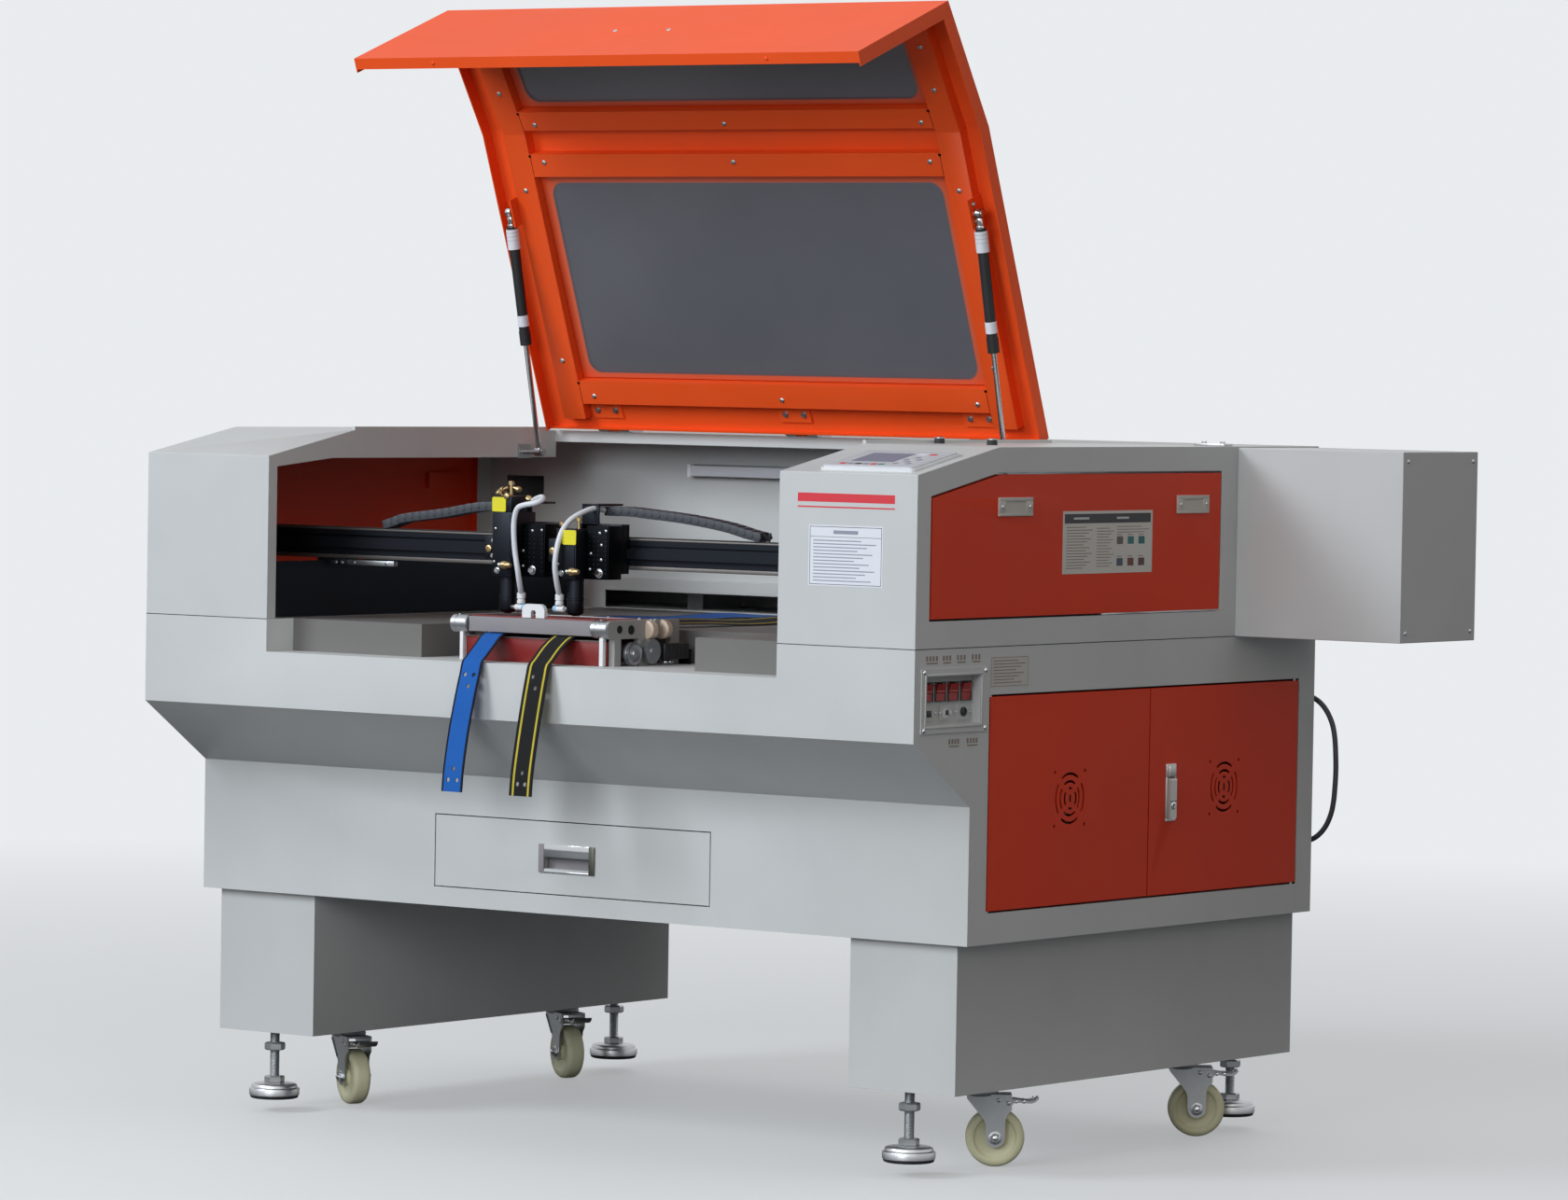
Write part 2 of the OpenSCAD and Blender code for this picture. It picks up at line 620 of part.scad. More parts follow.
latch_y = [236, 691.5];
latch_z = front_z - 45.5;
latch_w = 82;
latch_h = 25;

module hatch() difference() {
    union() {
        hatch_pan();
        for (y = [hatch_y0 + panel_gap, hatch_y1 - panel_gap - 12])
            box(sheet, pan_d, y, y + 12, hatch_z0 + panel_gap, hatch_z0 + panel_gap + 12);
        for (y = latch_y) box(-2.5, 9, y - latch_w / 2, y + latch_w / 2, latch_z - latch_h / 2,
                              latch_z + latch_h / 2);
    }
    for (y = latch_y) box(-3, 6, y - 26, y + 26, latch_z - 8, latch_z + 8);
    along(hatch_y0, hatch_y1, pan_pivot_x, hatch_z0 + panel_gap + pivot_in, pin_d / 2 + run_gap);
}

// paddle of a latch, turning about its upper edge
paddle_t = 3;
module paddle(i) {
    box(-2, -2 + paddle_t, latch_y[i] - 25.4, latch_y[i] + 25.4, latch_z - 7.4, latch_z + 5.9);
    along(latch_y[i] - 25.4, latch_y[i] + 25.4, -2 + paddle_t / 2, latch_z + 5.9, paddle_t / 2);
}

module hatch_left() color("#9A2C1A") place() hatch();
module hatch_right() color("#9A2C1A") place() other_side() hatch();
module latch_left(i) color("#B8BBBE") place() paddle(i);
module latch_right(i) color("#B8BBBE") place() other_side() paddle(i);

module door(y0, y1, pivot_y) difference() {
    box(body_w - pan_d, body_w, y0, y1, door_z, door_z + door_h);
    difference() {
        box(body_w - pan_d - 1, body_w - sheet, y0 + sheet, y1 - sheet, door_z + sheet,
            door_z + door_h - sheet);
        for (z = [door_z, door_z + door_h - 10])
            box(body_w - pan_d, body_w, pivot_y - 7, pivot_y + 7, z, z + 10);
    }
    upright(door_z - 1, door_z + 8.5, body_w - pivot_in, pivot_y, pin_d / 2 + run_gap);
    upright(door_z + door_h - 8.5, door_z + door_h + 1, body_w - pivot_in, pivot_y, pin_d / 2 + run_gap);
    // louvred vent: rings of arc slots
    translate([0, (y0 + y1) / 2, door_z + door_h / 2]) rotate([90, 0, 90])
        translate([0, 0, body_w - sheet - 1]) linear_extrude(sheet + 2) vent();
}

module vent() for (q = [0:3]) rotate(90 * q) {
    for (r = [24, 35]) arc_slot(r, 36, 3.5);
    translate([54 * cos(45), 54 * sin(45)]) circle(r = 2.5, $fn = 24);
}
module arc_slot(r, half, w) {
    a = [-half, 0, half];
    intersection() {
        difference() {
            circle(r = r + w / 2);
            circle(r = r - w / 2);
        }
        polygon([[0, 0], for (t = a) 2 * r * [cos(t), sin(t)]]);
    }
}

module door_front() color("#9A2C1A") place()
    door(door_y[0], door_y[1] - panel_gap / 2, door_y[0] + pivot_in);
module door_rear() color("#9A2C1A") place() difference() {
    union() {
        door(door_y[1] + panel_gap / 2, door_y[2], door_y[2] - pivot_in);
        box(body_w - 8, body_w + 2, handle_y - 12, handle_y + 12, handle_z - 41, handle_z + 41);
    }
    box(body_w - 5, body_w + 3, handle_y - 9, handle_y + 9, handle_z - 38, handle_z + 22);
}

handle_y = 646;
handle_z = 526;
module door_handle() color("#B4B7BA") place() {
    box(body_w - 1, body_w + 7, handle_y - 8.4, handle_y + 8.4, handle_z - 37.4, handle_z + 17.5);
    along(handle_y - 8.4, handle_y + 8.4, body_w + 3, handle_z + 17.5, 4);
}

// ---- drawer ---------------------------------------------------------------------
pull_w = 101;
pull_z = [393, 433];
module drawer() color("#C4CBD4") place() {
    x0 = body_w / 2 - drawer_w / 2;
    x1 = body_w / 2 + drawer_w / 2;
    px0 = body_w / 2 - 6 - pull_w / 2;
    difference() {
        union() {
            box(x0, x1, undercut_d, undercut_d + sheet, drawer_z, drawer_z + drawer_h);
            box(px0, px0 + pull_w, undercut_d - 2, undercut_d + 16, pull_z[0], pull_z[1]);
            box(x0 + 8, x1 - 8, undercut_d + sheet, undercut_d + drawer_d, drawer_z + 6, drawer_z + 8);
            for (x = [x0 + 8, x1 - 10])
                box(x, x + 2, undercut_d + sheet, undercut_d + drawer_d, drawer_z + 6, drawer_z + 80);
            box(x0 + 8, x1 - 8, undercut_d + drawer_d - 2, undercut_d + drawer_d, drawer_z + 6,
                drawer_z + 80);
        }
        box(px0 + 5, px0 + pull_w - 5, undercut_d - 3, undercut_d + 14, pull_z[0] + 5, pull_z[1] - 5);
    }
}

// ---- gantry and heads -------------------------------------------------------------
module gantry_beam() color("#2E3136") place() {
    difference() {
        box(20, body_w - 20, beam_y, beam_y + beam_size, beam_z, beam_z + beam_size);
        box(19, body_w - 19, beam_y + 5, beam_y + beam_size - 5, beam_z + 5, beam_z + beam_size - 5);
    }
    box(40, body_w - 40, head_y, beam_y, beam_z + 16, beam_z + 16 + x_rail_h);
    both_sides() difference() {
        box(y_plate_x - 6, y_plate_x + y_plate_w + 6, beam_y - 8, beam_y + beam_size + 8,
            seam_z + 78, beam_z);
        box(y_plate_x + 1 - run_gap, y_plate_x + 1 + y_rail_w + run_gap, beam_y - 9,
            beam_y + beam_size + 9, seam_z + 70, seam_z + 75 + y_rail_h + run_gap);
    }
}

// a head: x0 housing left edge, w1 housing width, w2 plate width, xn nozzle centre, top height,
// side 1 with its air fitting right of the nozzle, -1 left of it
lens_tube_r = 12.5;
fitting_from_nozzle = 22;
module head(x0, w1, w2, xn, top, side) {
    difference() {
        box(x0, x0 + w1 + w2, head_y - 12, head_y + 6, beam_z - 6, beam_z + beam_size + 20);
        box(x0 - 1, x0 + w1 + w2 + 1, head_y - run_gap, head_y + 7, beam_z + 16 - run_gap,
            beam_z + 16 + x_rail_h + run_gap);
    }
    box(x0, x0 + w1, head_y - 68, head_y - 12, beam_z - 14, top);
    box(x0 + w1, x0 + w1 + w2, head_y - 24, head_y - 12, beam_z - 14, beam_z + 62);
    // bracket over the energy chain
    box(x0 + 10, x0 + 40, head_y - 12, beam_y + 38, chain_top + 2, chain_top + 5);
    box(x0 + 10, x0 + 40, head_y - 12, head_y - 8, beam_z + beam_size, chain_top + 5);
    // lens tube with its collar and tip
    upright(nozzle_z + 5, beam_z - 14, xn, head_y - 45, lens_tube_r);
    upright(nozzle_z + 22, nozzle_z + 26, xn, head_y - 45, lens_tube_r + 1);
    translate([xn, head_y - 45, nozzle_z]) cylinder(r1 = 4, r2 = lens_tube_r, h = 5);
    // air fitting beside the lens tube
    xf = xn + side * fitting_from_nozzle;
    across(min(xn, xf - 4), max(xn, xf + 4), head_y - 45, nozzle_z + 14, 4.5);
    upright(nozzle_z + 10, nozzle_z + 30, xf, head_y - 45, 5);
    // knob for the lens tube and screw of the plate
    along(head_y - 80, head_y - 68, xn, beam_z + 2, 5.5);
    along(head_y - 28, head_y - 24, x0 + w1 + w2 / 2, beam_z - 4, 7);
    // mirror block with its adjusting screws
    box(x0 + 4, x0 + w1 - 4, head_y - 60, head_y - 30, top, top + 22);
    upright(top + 22, top + 32, x0 + w1 / 2, head_y - 45, 4);
    box(x0 - 14, x0, head_y - 60, head_y - 30, top - 42, top - 18);
}

// white air hose of a head, along its bend and down to the air fitting at xf
module head_hose(bend, xf) tube_along(concat(bend, [[xf - 1, head_y - 84, beam_z - 20],
    [xf, head_y - 66, nozzle_z + 46], [xf, head_y - 45, nozzle_z + 29]]), 8, 8, [1, 0, 0]);

module head_1() color("#1E2023") place() {
    top = 915;
    head(585, 47, 44, 611, top, 1);
    head_hose([[668, head_y - 18, beam_z + 62], [668, head_y - 22, top + 6], [660, head_y - 40, top + 24],
               [646, head_y - 62, top + 28], [633, head_y - 82, top + 8], [631, head_y - 88, top - 30]],
              611 + fitting_from_nozzle);
}
module head_2() color("#1E2023") place() {
    top = 893;
    head(705, 41, 52, 735, top, -1);
    head_hose([[754, head_y - 18, beam_z + 62], [754, head_y - 22, top + 9], [752, head_y - 40, top + 15],
               [745, head_y - 66, top + 12], [726, head_y - 82, top - 3], [713, head_y - 86, top - 31]],
              735 - fitting_from_nozzle);
}

// energy chain lying on the beam: a flat run, a half turn and the run above
chain_t = 14;
chain_r = 7.5;
chain_top = beam_z + beam_size + run_gap + 2 * (chain_t + chain_r);
module chain(x_head, x_bend, dir) {
    z0 = beam_z + beam_size + run_gap;
    zc = z0 + chain_t + chain_r;
    xz(beam_y + 4, beam_y + 34) {
        difference() {
            union() {
                translate([x_bend, zc]) circle(r = chain_r + chain_t);
                translate([min(x_bend, x_head), z0]) square([abs(x_head - x_bend), 2 * (chain_t + chain_r)]);
            }
            translate([x_bend, zc]) circle(r = chain_r);
            translate([min(x_bend, x_head + dir), zc - chain_r])
                square([abs(x_head - x_bend) + 1, 2 * chain_r]);
            translate([x_bend + (x_head - x_bend) * 0.62 - (dir > 0 ? 200 : 0), z0 - 1])
                square([200, chain_t + 2]);
        }
    }
}
module energy_chain_1() color("#1B1C1E") place() chain(600, 343, -1);
module energy_chain_2() color("#1B1C1E") place() chain(745, 1028, 1);

// ---- feeder --------------------------------------------------------------------------
module feeder_side(x) difference() {
    union() {
        box(x, x + plate_t, 62, 215, sill_z, seam_z + 18.5);
        box(x, x + plate_t, 45, 62, web_z + 3, seam_z + 18.5);
    }
    across(x - 1, x + plate_t + 1, roller_y, roller_z, 6 + run_gap);
}

module feeder_frame() color("#B9BDC2") place() {
    x0 = feeder_x - plate_t;
    x1 = feeder_x + feeder_w;
    feeder_side(x0);
    feeder_side(x1);
    // front bar with its collars
    across(x0 - 20, x1 + plate_t - 2, 55, seam_z + 8, 8);
    // anodised plates: above the webbing and in front below it
    box(feeder_x, x1, 74, 184, seam_z + 4, seam_z + 9);
    box(feeder_x, x1, 56, 62, sill_z, web_z - 4);
    // rear guide rod
    across(x0, x1 + plate_t, 205, seam_z + 12, 4);
    // motor with its bracket outside the right plate
    box(x1 + plate_t, x1 + plate_t + 14, 159, 227, 709, 731);
    box(x0 - 4, x1 + plate_t + 14, 222, 227, sill_z, 722);
    // guide discs and their block
    across(x1 + plate_t, x1 + plate_t + 8, 179, seam_z + 3.5, 15);
    across(x0 - 8, x0, 179, seam_z + 3.5, 15);
}

module feed_roller() color("#C8CCD0") place() {
    across(feeder_x + 1, feeder_x + feeder_w - 1, roller_y, roller_z, roller_d / 2);
    across(feeder_x - plate_t - 4, feeder_x + feeder_w + plate_t + 14, roller_y, roller_z, 6);
    across(feeder_x + feeder_w + plate_t + 2, feeder_x + feeder_w + plate_t + 12, roller_y, roller_z, 17.5);
}

// webbing: a flat strip along points, with its width across X
module strip(p, w, t) {
    m = len(p);
    side = [for (i = [0:m - 1]) let (d = path_dir([for (q = p) [q[1], q[2]]], i)) [0, -d[1], d[0]]];
    pts = [for (i = [0:m - 1]) for (c = [[-w / 2, 0], [w / 2, 0], [w / 2, t], [-w / 2, t]])
           p[i] + [c[0], 0, 0] + c[1] * side[i]];
    polyhedron(pts, concat([[3, 2, 1, 0]], [[(m - 1) * 4, (m - 1) * 4 + 1, (m - 1) * 4 + 2, (m - 1) * 4 + 3]],
        [for (i = [0:m - 2]) for (k = [0:3])
         [i * 4 + k, i * 4 + (k + 1) % 4, (i + 1) * 4 + (k + 1) % 4, (i + 1) * 4 + k]]));
}
// the webbing's line: hanging in front, over the sill, under the bar, over the roller,
// across the bed and into the slot in the back wall
function web_line(x_end, x_sill, x_bar, x_slot) = [
    [x_end, strap_hang_y, 516], [x_end - 1, -45, 550], [x_end - 2, -34, 600],
    [(x_end + x_sill) / 2, -22, 650], [x_sill + 1, -11, 685], [x_sill, -5, sill_z],
    [x_sill, 4, sill_z + 8], [x_sill - 1, 24, sill_z + 24], [x_bar, 46, web_z - 2],
    [x_bar, 62, web_z + 0.4], [x_bar, 130, web_z + 0.4], [x_bar, 215, web_z + 2],
    [x_bar + 1, 240, seam_z + 4], [x_bar + 4, 262, seam_z + 6], [x_bar + 10, 300, seam_z + 3],
    [x_bar + (x_slot - x_bar) * 0.2, 370, seam_z + 0.5],
    [x_bar + (x_slot - x_bar) * 0.6, 590, seam_z + 0.5], [x_slot, 800, seam_z + 0.5],
    [x_slot, 812, seam_z + 3], [x_slot, 850, seam_z + 4]];

module strap_blue() color("#1E78E0") place() strip(web_line(630, 628, 622.5, 660), blue_w, webbing_t);
module strap_black() color("#1B1B1D") place() strip(web_line(755, 750, 748.5, 800), black_w, webbing_t);

// ---- castors and feet ------------------------------------------------------------------
foot_stem_r = 7.5;
module foot() rotate_extrude() polygon([[0, foot_travel], [foot_d / 2 - 2, foot_travel],
    [foot_d / 2, foot_travel + 2], [foot_d / 2, foot_travel + 6], [foot_d / 2 - 8, foot_travel + 17],
    [15.5, foot_travel + 19], [15.5, foot_travel + 30], [foot_stem_r, foot_travel + 31],
    [foot_stem_r, plinth_z - 28], [15, plinth_z - 28], [15, plinth_z - 16], [foot_stem_r, plinth_z - 16],
    [foot_stem_r, plinth_z + 40], [0, plinth_z + 40]]);
module at_foot(side, i) place() translate([side == 0 ? leg_x : body_w - leg_x, foot_y[i], 0]) children();

module castor_at(side, i) place()
    translate([side == 0 ? leg_x : body_w - leg_x, castor_y[i], 0]) rotate([0, 0, castor_turn[side]])
    children();

module castor_fork() color("#C4C7CB") difference() {
    union() {
        upright(plate_z - 16, plate_z - 1, 0, 0, 20);
        box(-18, brake_x + 5, -fork_gap / 2 - fork_t, fork_gap / 2 + fork_t, plate_z - 19, plate_z - 16);
        for (s = [-1, 1]) translate([0, s * (fork_gap / 2 + fork_t / 2), 0]) xz(-fork_t / 2, fork_t / 2) {
            polygon([[-18, plate_z - 16], [brake_x + 5, plate_z - 16], [brake_x + 5, brake_z - 5],
                     [castor_trail + 12, wheel_d / 2], [castor_trail - 12, wheel_d / 2]]);
            translate([castor_trail, wheel_d / 2]) circle(r = 13);
        }
        along(-fork_gap / 2 - fork_t - 3, fork_gap / 2 + fork_t + 3, castor_trail, wheel_d / 2, axle_r);
        along(-fork_gap / 2 - fork_t, fork_gap / 2 + fork_t, brake_x, brake_z, 2.5);
    }
    upright(plate_z - 20, plate_z + 1, 0, 0, 6 + run_gap);
}

module castor_wheel() color("#D8D8A8") translate([castor_trail, 0, wheel_d / 2]) rotate([90, 0, 0])
    rotate_extrude($fn = 96) polygon([[axle_r + run_gap, -wheel_w / 2 - 2], [12, -wheel_w / 2 - 2],
        [13, -wheel_w / 2 + 4], [wheel_d / 2 - 12, -wheel_w / 2 + 4], [wheel_d / 2 - 10, -wheel_w / 2],
        [wheel_d / 2 - 3, -wheel_w / 2], [wheel_d / 2, -wheel_w / 2 + 5], [wheel_d / 2, wheel_w / 2 - 5],
        [wheel_d / 2 - 3, wheel_w / 2], [wheel_d / 2 - 10, wheel_w / 2],
        [wheel_d / 2 - 12, wheel_w / 2 - 4], [13, wheel_w / 2 - 4], [12, wheel_w / 2 + 2],
        [axle_r + run_gap, wheel_w / 2 + 2]]);

module castor_brake() color("#B9BCC0") difference() {
    union() {
        along(-fork_gap / 2 + 0.5, fork_gap / 2 - 0.5, brake_x, brake_z, 5);
        xz(-fork_gap / 2 + 0.5, fork_gap / 2 - 0.5) polygon([[brake_x, brake_z + 5], [brake_x, brake_z],
            [brake_x + 30, brake_z - 9], [brake_x + 31, brake_z - 5]]);
        along(-fork_gap / 2 + 4, fork_gap / 2 - 4, brake_x + 0.7, brake_z - 7.5, 3);
    }
    along(-fork_gap, fork_gap, brake_x, brake_z, 2.5 + run_gap);
}

upper_body();
cabinet();
work_table();
tube_cover();
laser_tube();
body_fittings();
underside_fixings();
electrics();
y_rails();
rear_fittings();
cable_loop();
switch_plate();
rocker(0);  // rocker_1
rocker(1);  // rocker_2
rocker(2);  // rocker_3
rocker(3);  // rocker_4
control_panel();
lid_shell();
lid_windows();
lid_fittings();
color("#3A3D42") place() strut_tube();  // strut_tube_left
color("#3A3D42") place() other_side() strut_tube();  // strut_tube_right
color("#D0D3D6") place() strut_rod();  // strut_rod_left
color("#D0D3D6") place() other_side() strut_rod();  // strut_rod_right
hatch_right();
hatch_left();
latch_right(0);  // latch_right_front
latch_right(1);  // latch_right_rear
latch_left(0);  // latch_left_front
latch_left(1);  // latch_left_rear
door_front();
door_rear();
door_handle();
drawer();
gantry_beam();
head_1();
head_2();
energy_chain_1();
energy_chain_2();
feeder_frame();
feed_roller();
strap_blue();
strap_black();
color("#C4C7CB") at_foot(0, 0) foot();  // foot_front_left
color("#C4C7CB") at_foot(1, 0) foot();  // foot_front_right
color("#C4C7CB") at_foot(0, 1) foot();  // foot_rear_left
color("#C4C7CB") at_foot(1, 1) foot();  // foot_rear_right
castor_at(0, 0) castor_fork();  // fork_front_left
castor_at(1, 0) castor_fork();  // fork_front_right
castor_at(0, 1) castor_fork();  // fork_rear_left
castor_at(1, 1) castor_fork();  // fork_rear_right
castor_at(0, 0) castor_wheel();  // wheel_front_left
castor_at(1, 0) castor_wheel();  // wheel_front_right
castor_at(0, 1) castor_wheel();  // wheel_rear_left
castor_at(1, 1) castor_wheel();  // wheel_rear_right
castor_at(0, 0) castor_brake();  // brake_front_left
castor_at(1, 0) castor_brake();  // brake_front_right
castor_at(0, 1) castor_brake();  // brake_rear_left
castor_at(1, 1) castor_brake();  // brake_rear_right
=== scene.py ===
import math

import bmesh
import bpy
from mathutils import Matrix, Vector


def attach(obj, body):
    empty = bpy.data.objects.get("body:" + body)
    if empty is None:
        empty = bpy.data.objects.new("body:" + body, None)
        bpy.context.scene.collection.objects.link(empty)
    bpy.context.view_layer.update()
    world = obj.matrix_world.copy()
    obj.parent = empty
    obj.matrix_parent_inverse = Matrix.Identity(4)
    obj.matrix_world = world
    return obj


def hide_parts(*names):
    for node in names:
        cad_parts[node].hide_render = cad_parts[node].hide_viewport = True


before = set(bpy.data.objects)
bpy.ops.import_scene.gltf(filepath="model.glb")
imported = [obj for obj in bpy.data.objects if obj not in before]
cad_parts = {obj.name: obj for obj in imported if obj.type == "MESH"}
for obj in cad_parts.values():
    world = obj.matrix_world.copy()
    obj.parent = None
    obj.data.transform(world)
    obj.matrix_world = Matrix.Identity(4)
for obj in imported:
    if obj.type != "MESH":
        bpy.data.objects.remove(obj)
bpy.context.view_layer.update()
scene = bpy.context.scene
BODY = "machine_body"

# ---- places --------------------------------------------------------------------------------------
# The machine's own measures are millimetres from its left side, front and floor.
ORIGIN = Vector((841.0, 514.5, 0.0))
WIDTH, DEPTH = 1400.0, 1036.0
RIGHT, BACK, UP = Vector((1, 0, 0)), Vector((0, 1, 0)), Vector((0, 0, 1))
LEFT, FRONT, DOWN = -RIGHT, -BACK, -UP


def at(x, y, z):
    """A point of the machine, in metres in the shared frame."""
    return (Vector((x, y, z)) - ORIGIN) / 1000.0


def round_about(degrees, r=1.0):
    """The point at an angle on a circle about 0, 0."""
    a = math.radians(degrees)
    return r * math.cos(a), r * math.sin(a)


# ---- camera --------------------------------------------------------------------------------------
def camera():
    yaw, pitch, roll = 0.6320332401, 0.0360705843, 0.0169700809
    place = (6.01392, -8.26996, 1.15569)
    sensor, lens = 36.0, 159.05925
    ahead = Vector((-math.sin(yaw) * math.cos(pitch), math.cos(yaw) * math.cos(pitch), -math.sin(pitch)))
    right = Vector((math.cos(yaw), math.sin(yaw), 0.0))
    up = right.cross(ahead)
    across = math.cos(roll) * right + math.sin(roll) * up
    upward = -math.sin(roll) * right + math.cos(roll) * up
    data = bpy.data.cameras.new("camera")
    data.sensor_width, data.lens, data.clip_end = sensor, lens, 100.0
    cam = bpy.data.objects.new("camera", data)
    cam.matrix_world = Matrix.Translation(place) @ Matrix((across, upward, -ahead)).transposed().to_4x4()
    scene.collection.objects.link(cam)
    scene.camera = cam


camera()


# ---- shader maths --------------------------------------------------------------------------------
def feed(slot, value):
    """Gives a socket its value, or a link from another socket."""
    if isinstance(value, Sock):
        value = value.out
    if isinstance(value, bpy.types.NodeSocket):
        slot.id_data.links.new(value, slot)
    elif slot.type == "RGBA" and len(value) == 3:
        slot.default_value = (*value, 1.0)
    else:
        slot.default_value = value


def add_node(tree, kind, settings=None, **sockets):
    """Any node: its settings first, then its sockets' values or links, by name or as n_ and a number."""
    node = tree.nodes.new(kind)
    for key, value in (settings or {}).items():
        setattr(node, key, value)
    for key, value in sockets.items():
        feed(node.inputs[int(key[2:]) if key.startswith("n_") else key.replace("_", " ")], value)
    return node


class Sock:
    """A value in a material. Its operators and methods add Math nodes."""

    def __init__(self, out):
        self.out = out

    def _math(self, operation, first, second=None):
        values = {"n_0": first} if second is None else {"n_0": first, "n_1": second}
        return Sock(add_node(self.out.id_data, "ShaderNodeMath", {"operation": operation},
                             **values).outputs[0])

    def __add__(self, other):
        return self._math("ADD", self, other)

    def __radd__(self, other):
        return self._math("ADD", other, self)

    def __sub__(self, other):
        return self._math("SUBTRACT", self, other)

    def __rsub__(self, other):
        return self._math("SUBTRACT", other, self)

    def __mul__(self, other):
        return self._math("MULTIPLY", self, other)

    def __rmul__(self, other):
        return self._math("MULTIPLY", other, self)

    def most(self, other):
        return self._math("MAXIMUM", self, other)

    def least(self, other):
        return self._math("MINIMUM", self, other)

    def size(self):
        return self._math("ABSOLUTE", self)

    def wave(self):
        return self._math("SINE", self)

    def root(self):
        return self._math("SQRT", self.most(0.0))

    def ramp(self, low, high):
        """0 below low, 1 above high."""
        node = add_node(self.out.id_data, "ShaderNodeMapRange", Value=self, From_Min=low, From_Max=high)
        return Sock(node.outputs["Result"])


class Finish:
    """A material under construction."""

    def __init__(self, name):
        self.mat = bpy.data.materials.new(name)
        self.mat.use_nodes = True
        self.shader = self.mat.node_tree.nodes["Principled BSDF"]
        self.place = self.node("ShaderNodeTexCoord").outputs["Object"]

    def node(self, kind, settings=None, **sockets):
        return add_node(self.mat.node_tree, kind, settings, **sockets)

    def xyz(self, source=None):
        split = self.node("ShaderNodeSeparateXYZ", Vector=source or self.place)
        return [Sock(out) for out in split.outputs]

    def noise(self, scale, detail=2.0, rough=0.5, stretch=(1.0, 1.0, 1.0)):
        spot = self.node("ShaderNodeMapping", Vector=self.place, Scale=stretch).outputs[0]
        grain = self.node("ShaderNodeTexNoise", Vector=spot, Scale=scale, Detail=detail, Roughness=rough)
        return Sock(grain.outputs[0])

    def mix(self, mask, first, second):
        """first where mask is 0, second where it is 1."""
        return self.node("ShaderNodeMix", {"data_type": "RGBA"}, n_0=mask, n_6=first, n_7=second).outputs[2]

    def bump(self, height, distance, strength=1.0):
        return self.node("ShaderNodeBump", Height=height, Distance=distance, Strength=strength).outputs[0]

    def set(self, **sockets):
        """Feeds the shader's sockets by name, and gives the finished material."""
        for key, value in sockets.items():
            feed(self.shader.inputs[key.replace("_", " ")], value)
        return self.mat


def lin(code):
    """A colour written as six hex digits, as the linear values that shaders take."""
    parts = [int(code[i:i + 2], 16) / 255.0 for i in (0, 2, 4)]
    return tuple(p / 12.92 if p <= 0.04045 else ((p + 0.055) / 1.055) ** 2.4 for p in parts)


def shade(colour, gain, lift=0.0):
    """The colour made darker or lighter."""
    return tuple(min(1.0, c * gain + lift) for c in colour)


# ---- finishes ------------------------------------------------------------------------------------
def paint(name, code, rough=0.45, coat=0.06):
    """Powder coat: fine orange peel, faint clouding of colour and sheen, and faint upright smears."""
    f, colour = Finish(name), lin(code)
    cloud = f.noise(3.0, 3.0, 0.6)
    peel = f.noise(900.0, 2.0, 0.6)
    base = f.mix(cloud.ramp(0.3, 0.7), shade(colour, 0.95), shade(colour, 1.04))
    smear = f.noise(14.0, 4.0, 0.7, (1.0, 1.0, 0.35)).ramp(0.5, 0.8)
    base = f.mix(smear * 0.12, base, shade(colour, 0.75, 0.05))
    return f.set(Base_Color=base, Roughness=rough - 0.05 + 0.1 * cloud + 0.06 * smear, Coat_Weight=coat,
                 Coat_Roughness=0.25, Specular_IOR_Level=0.3, Normal=f.bump(peel, 0.00012, 0.5))


def metal(name, code, rough=0.3, brush=(1.0, 1.0, 1.0), scale=300.0, tarnish=0.15):
    """Bare or plated metal: a fine grain, drawn out where it is brushed, and duller spots."""
    f, colour = Finish(name), lin(code)
    grain = f.noise(scale, 3.0, 0.6, brush)
    spots = f.noise(18.0, 4.0, 0.65)
    base = f.mix(spots.ramp(0.35, 0.75) * tarnish * 2.0, colour, shade(colour, 0.6))
    return f.set(Base_Color=base, Metallic=1.0, Roughness=rough - 0.08 + 0.16 * grain + tarnish * 0.4 * spots,
                 Normal=f.bump(grain, 0.00008, 0.35))


def plastic(name, code, rough=0.5, scale=700.0, depth=0.00006, shine=0.5):
    """Moulded plastic or print: a fine grain and a faint haze."""
    f, colour = Finish(name), lin(code)
    grain = f.noise(scale, 2.0, 0.5)
    haze = f.noise(9.0, 3.0, 0.6)
    base = f.mix(haze.ramp(0.35, 0.75) * 0.25, colour, shade(colour, 0.82, 0.01))
    return f.set(Base_Color=base, Roughness=rough - 0.06 + 0.12 * haze, Specular_IOR_Level=shine,
                 Normal=f.bump(grain, depth, 0.5))


grey_paint = paint("grey_paint", "C8CACA")
bed_paint = paint("bed_paint", "73716F", 0.5, 0.0)
orange_paint = paint("orange_paint", "F2551C", 0.5, 0.0)
red_paint = paint("red_paint", "DC380F", 0.5, 0.0)
zinc = metal("zinc", "B9BCBE", 0.34)
chromed = metal("chromed", "D5D7D9", 0.14, tarnish=0.05)
steel = metal("steel", "8E9398", 0.36)
brass = metal("brass", "B09A72", 0.34)
alu = metal("alu", "B4B7BA", 0.34, (1.0, 12.0, 12.0), 160.0)
black_alu = metal("black_alu", "2A2D33", 0.44, tarnish=0.05)
screw_dark = metal("screw_dark", "3A3D40", 0.5)
red_alu = plastic("red_alu", "7C1815", 0.4)
black_plastic = plastic("black_plastic", "1B1C1F", 0.48)
red_plastic = plastic("red_plastic", "A81E1A", 0.28)
nylon = plastic("nylon", "EDEAC4", 0.42)
